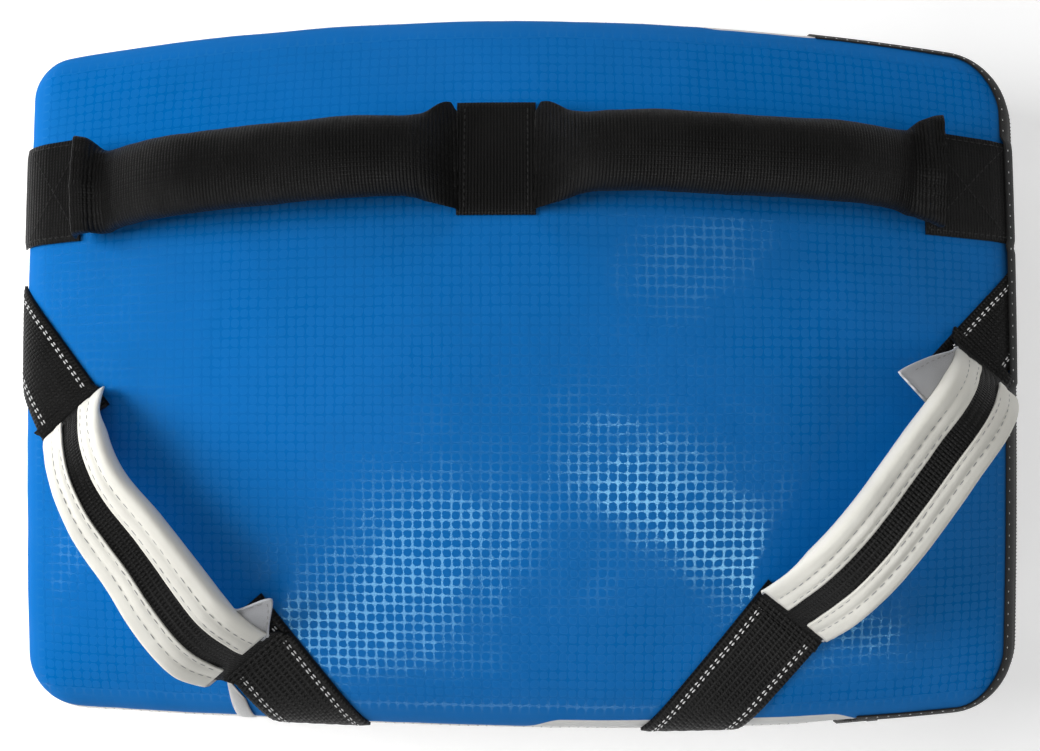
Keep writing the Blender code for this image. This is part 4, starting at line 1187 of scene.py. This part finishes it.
class Strap:
    """One diagonal strap: its two flat ends and the arch of its grip."""

    def __init__(self, side, upper, lower, raised, lean, inner, sway, spread, sleeve, lip):
        self.side = side
        self.lip = lip
        self.sway = sway
        self.spread = spread
        self.sleeve = sleeve
        self.body = side + "_grip"
        self.inner = inner
        self.ends = {}
        self.plan = {}
        for label, (point, degrees, length, *rest) in (("upper", upper), ("lower", lower)):
            heading = direction(math.radians(degrees))
            self.ends[label] = (point, heading, length, *rest)
            self.plan[label] = point + heading * length
        top, bottom = self.plan.values()
        self.arch = Arch(top, bottom, GAP + WEBBING + GAP, raised, GRIP_SQUARENESS, lean)
        self.plan_heading = (bottom - top).normalized()

    def point(self, share, across, up, share_of_sway=1.0):
        """Point of the grip, whose stiff lower end stands outwards and up from the arch."""
        upper, lower = self.sway
        aside = lower * smooth((share - 0.5) / 0.48) + upper * smooth((0.4 - share) / 0.35)
        lift = 0.6 * abs(lower) * smooth((share - 0.72) / 0.25)
        narrow, wide = self.spread
        wider = narrow * smooth(share / 0.10) * smooth((0.50 - share) / 0.25)
        wider += wide * smooth((share - 0.50) / 0.25) * smooth((1.0 - share) / 0.10)
        across *= 1 + wider
        return self.arch.point(share, across + aside * share_of_sway, up + lift * share_of_sway)


def rib(v):
    """Height of the ribs at a distance along a strap."""
    return abs(math.sin(math.pi * v / RIB_PITCH)) ** 0.8


def notch(v, across):
    """How far the ribs push a strap's edge outwards."""
    return math.copysign(EDGE_NOTCH * (rib(v) - 0.6), across)


def ribbed(v, lane, thinner):
    """Thickness of the ribbed webbing at a distance along it, thinner at its edges."""
    edge = fade(min(lane, LANES - lane), 1.5)
    return WEBBING - thinner * edge + RIB_HEIGHT * (rib(v) - 0.7)


def anchor_line(origin, heading, aside, across, taper, inset, length):
    """Start and course of a lengthwise line of a flat strap end, and how far it runs to the seam."""
    inner = origin + heading * length + aside * across
    outer = origin + aside * across * taper
    course = (outer - inner).normalized()
    return inner, course, reach_inside(0.4, inset, lambda reach: inner + course * reach)


def make_anchor(strap, label):
    """Flat end of a diagonal strap, with ribs, notched edges and two double rows of stitches."""
    origin, heading, length, tuck, taper, inset = strap.ends[label]
    aside = Vector((heading.y, -heading.x))
    tilt = back_normal(*(origin + heading * length / 2)).dot(Vector((aside.x, aside.y, 0.0)))
    width = GRIP_STRAP_WIDTH * math.sqrt(1 - tilt ** 2)

    def line(across):
        return anchor_line(origin, heading, aside, across, taper, inset, length + tuck)

    lanes = [(lane / LANES - 0.5) * width for lane in range(LANES + 1)]
    lines = [(across, *line(across)) for across in lanes]
    most = max(reach for across, inner, course, reach in lines)
    steps = round(most / RIB_STEP)
    rows = []
    for step in range(steps + 1):
        row = []
        for lane, (across, inner, course, reach) in enumerate(lines):
            run = min(most * step / steps, reach)
            place = inner + course * run
            if lane in (0, LANES):
                place += aside * notch(run, across)
            body = ribbed(run, lane, 0.0006)
            row.append((on_back(*place, STRAP_LIFT + body), on_back(*place, GAP), (across, run)))
        rows.append(row)
    name = f"{strap.side}_grip_anchor_{label}"
    keep(ribbon(name, STRAP_WEBBING, rows), "pad", "black_webbing", f"{strap.side}_grip_{label}_anchor")
    sewing = Skin()
    begin = max(tuck - 0.005, 0.002)
    for side in (-1, 1):
        for offset in (-ANCHOR_ROW_SPLIT, ANCHOR_ROW_SPLIT):
            inner, course, reach = line(side * (width / 2 - ANCHOR_SEWING_INSET) + offset)
            path = []
            for step in range(61):
                place = inner + course * (begin + (reach - begin) * step / 60)
                path.append((on_back(*place, STRAP_LIFT + WEBBING), back_normal(*place)))
            sew(sewing, path, ANCHOR_STITCH)
    keep(sewing.make(f"{strap.side}_grip_{label}_stitches", WHITE_THREAD), "pad", "black_webbing")


def strap_row(strap, share, v, share_of_sway=1.0):
    """Cells of the grip webbing at a share of the arch."""
    row = []
    for lane in range(LANES + 1):
        across = (lane / LANES - 0.5) * GRIP_WIDTH
        if lane in (0, LANES):
            across += notch(v, across)
        body = ribbed(v, lane, 0.0005)
        over, under = (strap.point(share, across, up, share_of_sway) for up in (body, 0.0))
        row.append((over, under, (across, v)))
    return row


def arch_distances(arch, count):
    """Distance travelled along an arch at even shares."""
    total = [0.0]
    for number in range(count):
        step = arch.point((number + 1) / count, 0, 0) - arch.point(number / count, 0, 0)
        total.append(total[-1] + step.length)
    return total


def shares_between(arch, start, end, spacing):
    """Shares of an arch a set distance apart along it, with the distances."""
    count = 400
    total = arch_distances(arch, count)
    first = total[round(start * count)]
    last = total[round(end * count)]
    steps = max(2, round(abs(last - first) / spacing))
    found = []
    for step in range(steps + 1):
        wanted = first + (last - first) * step / steps
        low = max(i for i in range(count + 1) if total[i] <= wanted + 1e-12)
        high = min(low + 1, count)
        span = max(total[high] - total[low], 1e-9)
        share = (low + (wanted - total[low]) / span) / count
        found.append((min(share, 1.0), wanted))
    found[0] = (start, first)
    found[-1] = (end, last)
    return found


def make_grip_webbing(strap):
    """Webbing over the grip, between its feet."""
    places = shares_between(strap.arch, GRIP_CUT, 1 - GRIP_CUT, RIB_STEP)
    rows = [strap_row(strap, share, v) for share, v in places]
    made = ribbon(strap.side + "_grip_strap", STRAP_WEBBING, rows)
    nodes = (strap.side + "_grip_webbing", strap.side + "_grip_foam")
    turn_with_ends(made, strap.arch, strap.body, GRIP_TURN, "black_webbing", *nodes)


def make_foot(strap, label, sign, edge, sway):
    """Webbing at one end of the grip, from its toe on the flat end up to the cut."""
    aside = Vector((strap.plan_heading.y, -strap.plan_heading.x))
    toe_steps = round(FOOT_TOE / RIB_STEP)
    lift = GAP + WEBBING + STRAP_LIFT
    rows = []
    for step in range(toe_steps):
        v = -FOOT_TOE * (1 - step / toe_steps)
        row = []
        for lane in range(LANES + 1):
            across = (lane / LANES - 0.5) * GRIP_WIDTH + sway * FOOT_SWAY * smooth(step / toe_steps)
            place = strap.plan[label] + strap.plan_heading * sign * v + aside * across
            body = WEBBING * 0.9 + RIB_HEIGHT * (rib(v) - 0.7)
            over = on_back(*place, lift + body)
            row.append((over, on_back(*place, lift), (across, v)))
        rows.append(row)
    for share, v in shares_between(strap.arch, edge, edge + sign * GRIP_CUT, RIB_STEP):
        done = abs(share - edge) / GRIP_CUT
        rows.append(strap_row(strap, share, v, FOOT_SWAY + (1 - FOOT_SWAY) * smooth(done * 1.6)))
    foot = ribbon(f"{strap.side}_grip_foot_{label}", STRAP_WEBBING, rows)
    turn_at_end(foot, strap.arch, strap.body, edge, edge + sign * GRIP_TURN)
    keep(foot, None, "black_webbing", f"{strap.side}_grip_{label}_foot")


# Sleeves of the hand grips

STRIPE = 0.015
SLEEVE_EDGE_ROW = 0.0022
SLEEVE_MIDDLE_ROW = 0.0088
SLEEVE_TOP = WEBBING + GAP + SLEEVE + 0.0002
SLEEVE_TURN = GRIP_WIDTH / 2 - 0.0020
SLEEVE_PUFF = 0.0005
STITCH_DIP = 0.0006
FOLD_BULGE = 0.0042
CORNER_LIFT = 0.0022
SLEEVE_SEWING_INSET = 0.012
SLEEVE_CREASE = 0.00035
SLEEVE_DENT = 0.0005
LIP_LAP = 0.0015


def foam_depth(share):
    """Thickness of a grip's padding at a share of its span."""
    edge = min(share, 1 - share)
    return GRIP_FOAM * smooth((edge - 0.08) / 0.10)


def half_sleeve(share):
    """Half of the sleeve's outer section, from the flap's edge round to the middle of the palm."""
    low = -2 * GAP - foam_depth(share) - SLEEVE
    points = []
    flap, fold, palm = 14, 10, 8
    for step in range(flap):
        from_edge = (SLEEVE_TURN - STRIPE / 2) * step / flap
        dip = math.exp(-((from_edge - SLEEVE_EDGE_ROW) / 0.0011) ** 2)
        dip += math.exp(-((from_edge - SLEEVE_MIDDLE_ROW) / 0.0012) ** 2)
        from_row = from_edge / SLEEVE_MIDDLE_ROW
        puff = math.sin(math.pi * from_row) if from_row < 1 else 1.0
        up = SLEEVE_TOP + SLEEVE_PUFF * puff - STITCH_DIP * min(dip, 1.0)
        points.append((STRIPE / 2 + from_edge, up))
    for step in range(fold + 1):
        turn = math.pi / 2 - math.pi * step / fold
        up = (SLEEVE_TOP + low + (SLEEVE_TOP - low) * math.sin(turn)) / 2
        up += SLEEVE_PUFF * max(math.sin(turn), 0.0)
        points.append((SLEEVE_TURN + FOLD_BULGE * math.cos(turn), up))
    return points + [(SLEEVE_TURN * (1 - step / palm), low) for step in range(1, palm + 1)]


def corner_lift(strap, share, from_stripe):
    """How far the flaps' corners stand up at the sleeve's cut ends."""
    start, end = strap.sleeve
    from_end = min(share - start, end - share) * strap.arch.span
    return CORNER_LIFT * fade(from_end, 0.011) * fade(from_stripe, 0.010)


def make_sleeve(strap):
    """Vinyl folded round the webbing and padding, sewn down along both flaps."""
    rows, marks = [], []
    for share, v in shares_between(strap.arch, *strap.sleeve, 0.0021):
        half = half_sleeve(share)
        outline = half + [(-across, up) for across, up in reversed(half[:-1])]
        row, mark = [], []
        travelled = 0.0
        before = outline[0]
        for across, up in outline:
            travelled += math.hypot(across - before[0], up - before[1])
            before = (across, up)
            crease = noise.noise(Vector((v * 60.0, travelled * 90.0, strap.inner * 4.0))) * SLEEVE_CREASE
            dent = noise.noise(Vector((v * 24.0, travelled * 30.0, strap.inner * 9.0))) * SLEEVE_DENT
            if up > 0:
                crease += corner_lift(strap, share, abs(across) - STRIPE / 2)
            row.append(strap.point(share, across, up + crease + dent))
            mark.append((travelled, v))
        rows.append(row)
        marks.append(mark)
    inside = GRIP_WIDTH / 2 - 0.003
    palm = [lane for lane, (across, up) in enumerate(outline) if up < 0 and abs(across) < inside]
    back = 3 if strap.inner > 0 else 7
    skin = Skin()
    skin.grid(rows[:3], marks[:3], lanes=lambda lane: lane not in palm[:-1])
    skin.grid(rows[2:-back], marks[2:-back])
    skin.grid(rows[-back - 1:], marks[-back - 1:], lanes=lambda lane: lane not in palm[:-1])
    name = strap.side + "_grip_cover"
    made = skin.make(name, SLEEVE_VINYL, SLEEVE_BACK)
    thicken(made, SLEEVE, 1)
    sleeve = strap.side + "_grip_sleeve"
    turn_with_ends(made, strap.arch, strap.body, GRIP_TURN, "white_vinyl", sleeve, fill=0.7)
    stitches = sleeve_sewing(strap).make(name + "_stitches", GREY_THREAD)
    turn_with_ends(stitches, strap.arch, strap.body, GRIP_TURN, "white_vinyl")


def sleeve_sewing(strap):
    """Two rows of stitches along each flap, and one along the loose edge."""
    sewing = Skin()
    start, end = strap.sleeve[0] + SLEEVE_SEWING_INSET, strap.sleeve[1] - SLEEVE_SEWING_INSET
    for sign in (-1, 1):
        for row, drop in ((SLEEVE_EDGE_ROW, -0.0002), (SLEEVE_MIDDLE_ROW, 0.0)):
            path = []
            for share, _ in shares_between(strap.arch, start, end, 0.003):
                height = SLEEVE_TOP + drop + corner_lift(strap, share, row)
                path.append((strap.point(share, sign * (STRIPE / 2 + row), height), strap.arch.up))
            sew(sewing, path, SLEEVE_STITCH)
    loose = [(lip_point(strap, *place, 0.80), strap.arch.up) for place in lip_shares(strap)]
    sew(sewing, loose[4:-3], LIP_STITCH)
    return sewing


def lip_point(strap, progress, share, q):
    """Point of the palm sheet's loose edge, which flares inwards and up at one end of the sleeve."""
    width, _, widest = strap.lip
    if progress < widest:
        share_of_width = smooth(progress / widest)
    else:
        share_of_width = 1 - ((progress - widest) / (1 - widest)) ** 1.3
    reach = width * share_of_width * q + LIP_LAP
    turn = math.radians(-8 + 12 * q)
    low = -GAP - foam_depth(share) - SLEEVE
    across = GRIP_WIDTH / 2 - LIP_LAP + reach * math.cos(turn)
    up = low + 0.0012 + reach * math.sin(turn) + 0.003 * progress * q
    return strap.point(share, strap.inner * across, up)


def lip_shares(strap):
    """Progress along the loose edge, and the shares of the arch that it has there."""
    start, end = strap.sleeve
    reach = strap.lip[1] / strap.arch.span
    first = end - reach if strap.inner < 0 else start + reach
    steps = 20
    for step in range(steps + 1):
        yield step / steps, first - strap.inner * (reach + 0.004) * step / steps


def make_lip(strap):
    """Palm sheet's loose edge at the end where the sleeve's fold is split."""
    rows, marks = [], []
    for progress, share in lip_shares(strap):
        rows.append([lip_point(strap, progress, share, lane / 12) for lane in range(13)])
        marks.append([(strap.lip[0] * lane / 12, strap.lip[1] * progress) for lane in range(13)])
    skin = Skin()
    skin.grid(rows, marks)
    made = skin.make(strap.side + "_grip_cover_lip", SLEEVE_BACK, SLEEVE_VINYL)
    if made.data.polygons[130].normal.dot(strap.arch.up) < 0:
        made.data.flip_normals()
    thicken(made, SLEEVE, 1)
    edge, sign = (1.0, -1) if strap.inner < 0 else (0.0, 1)
    turn_at_end(made, strap.arch, strap.body, edge, edge + sign * GRIP_TURN)
    keep(made, None, "white_vinyl")


def make_straps():
    """The two diagonal straps with their grips."""
    left = Strap(
        "left",
        upper=(*LEFT_UPPER, 0.008, UPPER_TAPER, SEAM_INSET),
        lower=(*LEFT_LOWER, 0.023, LOWER_TAPER, SEAM_INSET),
        raised=0.043,
        lean=0.0,
        inner=-1,
        sway=(-0.0055, 0.008),
        spread=(-0.12, 0.08),
        sleeve=(0.014, 0.985),
        lip=(0.021, 0.022, 0.45),
    )
    right = Strap(
        "right",
        upper=(*RIGHT_UPPER, 0.038, UPPER_TAPER, UNDER_TAPE_INSET),
        lower=(*RIGHT_LOWER, 0.008, LOWER_TAPER, SEAM_INSET),
        raised=0.054,
        lean=0.16,
        inner=1,
        sway=(-0.0045, 0.001),
        spread=(0.0, 0.0),
        sleeve=(0.044, 0.990),
        lip=(0.025, 0.045, 0.03),
    )
    for strap in (left, right):
        make_anchor(strap, "upper")
        make_anchor(strap, "lower")
        make_grip_webbing(strap)
        make_foot(strap, "upper", 1, 0.0, strap.sway[0])
        make_foot(strap, "lower", -1, 1.0, strap.sway[1])
        make_sleeve(strap)
        make_lip(strap)


# Zip

COIL_PITCH = 0.0022
COIL_INSET = 0.0075
TOOTH_OFFSET = 0.00125
WHITE_DOT_OFFSET = 0.0029
STATION_SPACING = 0.004
TAPE_RAMP = 0.004
ANCHOR_UNDER_TAPE = (-0.004, 0.080)
METAL_ROUNDING = 0.00022
TOOTH_SIZE = (0.0032, 0.0013, 0.0018)
WHITE_DOT_SIZE = (0.0010, 0.0007, 0.0006)
TAPE_THICK = 0.0009
TAPE_SHOWN = 0.0095
HALF_CHAIN = 0.0026 + GAP / 2 + GAP


def zip_places(inset, spacing):
    """Distances along the zip, evenly spaced inside both its ends."""
    start, end = ZIP_START + inset, ZIP_END - inset
    steps = round((end - start) / spacing)
    return [start + (end - start) * step / steps for step in range(steps + 1)]


def tape_lap(s, depth):
    """Depth of the tape's lengthwise lines, which reach further over the back round the end."""
    if depth > 0:
        return depth
    return depth * (0.4 + 0.6 * smooth(max(seam(s)[1].x, 0.0)))


def tape_lift(s, depth):
    """Height of the tape's underside, which passes over the strap ends that it covers."""
    if depth > 0:
        return GAP
    place = seam(s)[0]
    over = 0.0
    forearm = (STRAP_LINE_Y - STRAP_WIDTH / 2, STRAP_LINE_Y + STRAP_WIDTH / 2)
    for low, high in (forearm, ANCHOR_UNDER_TAPE):
        if place.x > 0.2:
            up = smooth((place.y - low) / TAPE_RAMP + 1)
            over = max(over, up * smooth((high - place.y) / TAPE_RAMP + 1))
    return GAP + over * smooth((-depth - 0.001) / 0.003) * (WEBBING + 0.0007)


def tape_point(s, depth, lift):
    """Point above the tape's underside."""
    depth = tape_lap(s, depth)
    return cover_point(s, depth, tape_lift(s, depth) + lift)


def make_tapes():
    """Two tapes, sewn to the back and to the wall."""
    upper = [-TAPE_SHOWN, -0.0085, -0.006, -0.0035, -0.001, 0.0, 0.002, 0.005, 0.008]
    upper.append(ZIP_LINE_DEPTH - HALF_CHAIN)
    lower = [ZIP_LINE_DEPTH + HALF_CHAIN, 0.0205, ZIP_WALL_DEPTH, 0.027, ZIP_WALL_DEPTH + ZIP_WALL_LAP]
    for name, depths, side in (("zip_tape_upper", upper, "panel"), ("zip_tape_lower", lower, "wall")):
        rows = []
        for s in zip_places(0.0015, STATION_SPACING):
            heights = [[tape_point(s, depth, lift) for depth in depths] for lift in (TAPE_THICK, 0.0)]
            rows.append(list(zip(*heights, [(depth, s) for depth in depths])))
        keep(ribbon(name, TAPE, rows), "pad", "zip_tape", f"zipper_tape_{side}_side")


def make_chain():
    """Coil teeth of both tapes, and a row of white dots beside each coil, between its teeth."""
    for side, name, cad_side in ((-1, "zip_teeth_upper", "panel"), (1, "zip_teeth_lower", "wall")):
        teeth = Skin()
        dots = Skin()
        for s in zip_places(COIL_INSET, COIL_PITCH):
            s += COIL_PITCH / 4 * side
            depth = ZIP_LINE_DEPTH + side * TOOTH_OFFSET
            along, down, outward = cover_frame(s, depth)
            centre = cover_point(s, depth, GAP + 0.0008)
            add_stitch(teeth, centre, down, outward, *TOOTH_SIZE)
            # A white dot beside the coil between each pair of teeth, in the white thread finish.
            dot_depth = ZIP_LINE_DEPTH + side * WHITE_DOT_OFFSET
            outer = cover_point(s + COIL_PITCH / 2, dot_depth, GAP + 0.0010)
            add_stitch(dots, outer, along, outward, *WHITE_DOT_SIZE)
        keep(teeth.make(name, COIL_PLASTIC), "pad", "zip_coil", f"zipper_coil_{cad_side}_side")
        keep(dots.make(name + "_white_dots", WHITE_THREAD), "pad", "zip_coil")


def make_zip():
    """Tapes, teeth, sewing and metal parts round the right end."""
    make_tapes()
    make_chain()
    sewing = Skin()
    for depth in (-TAPE_SHOWN + 0.0020, ZIP_WALL_DEPTH + ZIP_WALL_LAP - 0.0015):
        path = []
        for s in zip_places(0.004, STATION_SPACING):
            path.append((tape_point(s, depth, TAPE_THICK), cover_frame(s, depth)[2]))
        sew(sewing, path, ZIP_STITCH)
    keep(sewing.make("zip_stitches", WHITE_THREAD), "pad", "zip_tape")
    for name in ("zipper_slider", "zipper_pull", "zipper_end_stop_upper", "zipper_end_stop_lower"):
        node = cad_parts[name]
        node.data.materials.clear()
        node.data.materials.append(ZIP_METAL)
        bevel = node.modifiers.new("round", "BEVEL")
        bevel.width = METAL_ROUNDING
        bevel.segments = 2


def make_tag():
    """Bare satin tag at the left grip's lower end."""
    place, degrees = LEFT_LOWER[:2]
    heading = direction(math.radians(degrees))
    outward = Vector((-heading.y, heading.x))
    edge = place + outward * (GRIP_STRAP_WIDTH / 2 + 2 * GAP)
    high = edge + heading * TAG_ALONG_ANCHOR
    low = high - heading * (TAG_WIDTH / abs(heading.x))
    rows, marks = [], []
    steps = 24
    length = 0.0
    for step in range(steps + 1):
        share = step / steps
        bend = share ** 0.7
        ends = [top.lerp(Vector((top.x + 0.004, -HALF_WIDTH + 0.001)), bend) for top in (high, low)]
        row, mark = [], []
        for lane in range(7):
            place = ends[0].lerp(ends[1], lane / 6)
            curl = 0.0008 * math.sin(math.pi * share) + 0.0004 * math.sin(math.pi * lane / 6)
            row.append(on_back(*place, 2.5 * GAP + curl))
            mark.append((TAG_WIDTH * lane / 6, length))
        if rows:
            length += (row[3] - rows[-1][3]).length
        rows.append(row)
        marks.append(mark)
    skin = Skin()
    skin.grid(rows, marks)
    tag = skin.make("care_label", SATIN)
    thicken(tag, TAG_THICKNESS)
    keep(tag, "tag", "white_satin", "care_tag")


# Surroundings


def make_floor():
    """Plain pale floor."""
    reach = 6.0
    corners = [[Vector((x, y, -0.0004)) for x in (-reach, reach)] for y in (-reach, reach)]
    skin = Skin()
    skin.grid(corners, [[(0.0, 0.0)] * 2] * 2)
    finish = Finish("pale_floor", 0.8)
    paleness = finish.mixed(finish.noise(finish.place(), 3.0), grey(0.88), grey(0.92))
    finish.shader.inputs["Emission Color"].default_value = grey(1.0)
    finish.shader.inputs["Emission Strength"].default_value = 0.3
    floor = skin.make("floor", finish.done(paleness))


def add_light(name, place, size, power, reflected):
    """Soft rectangular light aimed at the pad, which lights it or only shows in its gloss."""
    data = bpy.data.lights.new(name, "AREA")
    data.shape = "RECTANGLE"
    data.size, data.size_y = size
    data.energy = power
    made = bpy.data.objects.new(name, data)
    made.location = place
    aim = Vector((0.0, 0.0, 0.1)) - Vector(place)
    made.rotation_mode = "QUATERNION"
    made.rotation_quaternion = aim.to_track_quat("-Z", "Y")
    made.visible_diffuse = not reflected
    made.visible_glossy = reflected
    bpy.context.scene.collection.objects.link(made)


# Lights: name, place, size and power. Softboxes light the pad, and glows show in its gloss
SOFTBOXES = (
    ("left", (-1.7, 0.2, 1.0), (1.0, 1.6), 44.0),
    ("right", (1.7, 0.0, 0.9), (1.0, 1.6), 6.5),
    ("top", (-0.3, 1.7, 1.1), (1.6, 0.8), 8.0),
    ("bottom", (-0.3, -1.7, 1.1), (1.6, 0.8), 8.0),
    ("above", (-0.4, 0.2, 2.2), (1.8, 1.8), 9.5),
)
GLOWS = (
    ("low_left", (-0.36, -0.80, 1.6), (0.42, 1.0), 13.0),
    ("low_right", (0.56, -0.50, 1.6), (0.24, 0.95), 11.0),
    ("top_right", (0.55, 0.50, 1.6), (0.30, 0.4), 1.0),
    ("left", (-1.8, -0.3, 1.5), (0.3, 0.5), 1.5),
    ("bottom", (-0.2, -2.2, 0.7), (1.6, 0.4), 9.0),
)


def make_studio():
    """Soft studio light and the camera at the photograph's angle."""
    for name, place, size, power in SOFTBOXES:
        add_light("softbox_" + name, place, size, power, False)
    for name, place, size, power in GLOWS:
        add_light("glow_" + name, place, size, power, True)
    world = bpy.data.worlds.new("studio")
    world.use_nodes = True
    background = world.node_tree.nodes["Background"]
    background.inputs["Color"].default_value = (1.0, 1.0, 1.0, 1.0)
    background.inputs["Strength"].default_value = 0.03
    scene = bpy.context.scene
    scene.world = world
    scene.view_settings.view_transform = "Standard"
    camera = bpy.data.cameras.new("photograph")
    camera.lens = CAMERA_LENS
    camera.sensor_width = 36.0
    camera.clip_start = 0.05
    made = bpy.data.objects.new("photograph", camera)
    made.location = CAMERA_PLACE
    made.rotation_euler = (CAMERA_TILT, 0.0, 0.0)
    scene.collection.objects.link(made)
    scene.camera = made


make_cover()
make_forearm_strap()
make_straps()
make_zip()
make_tag()
make_floor()
make_studio()
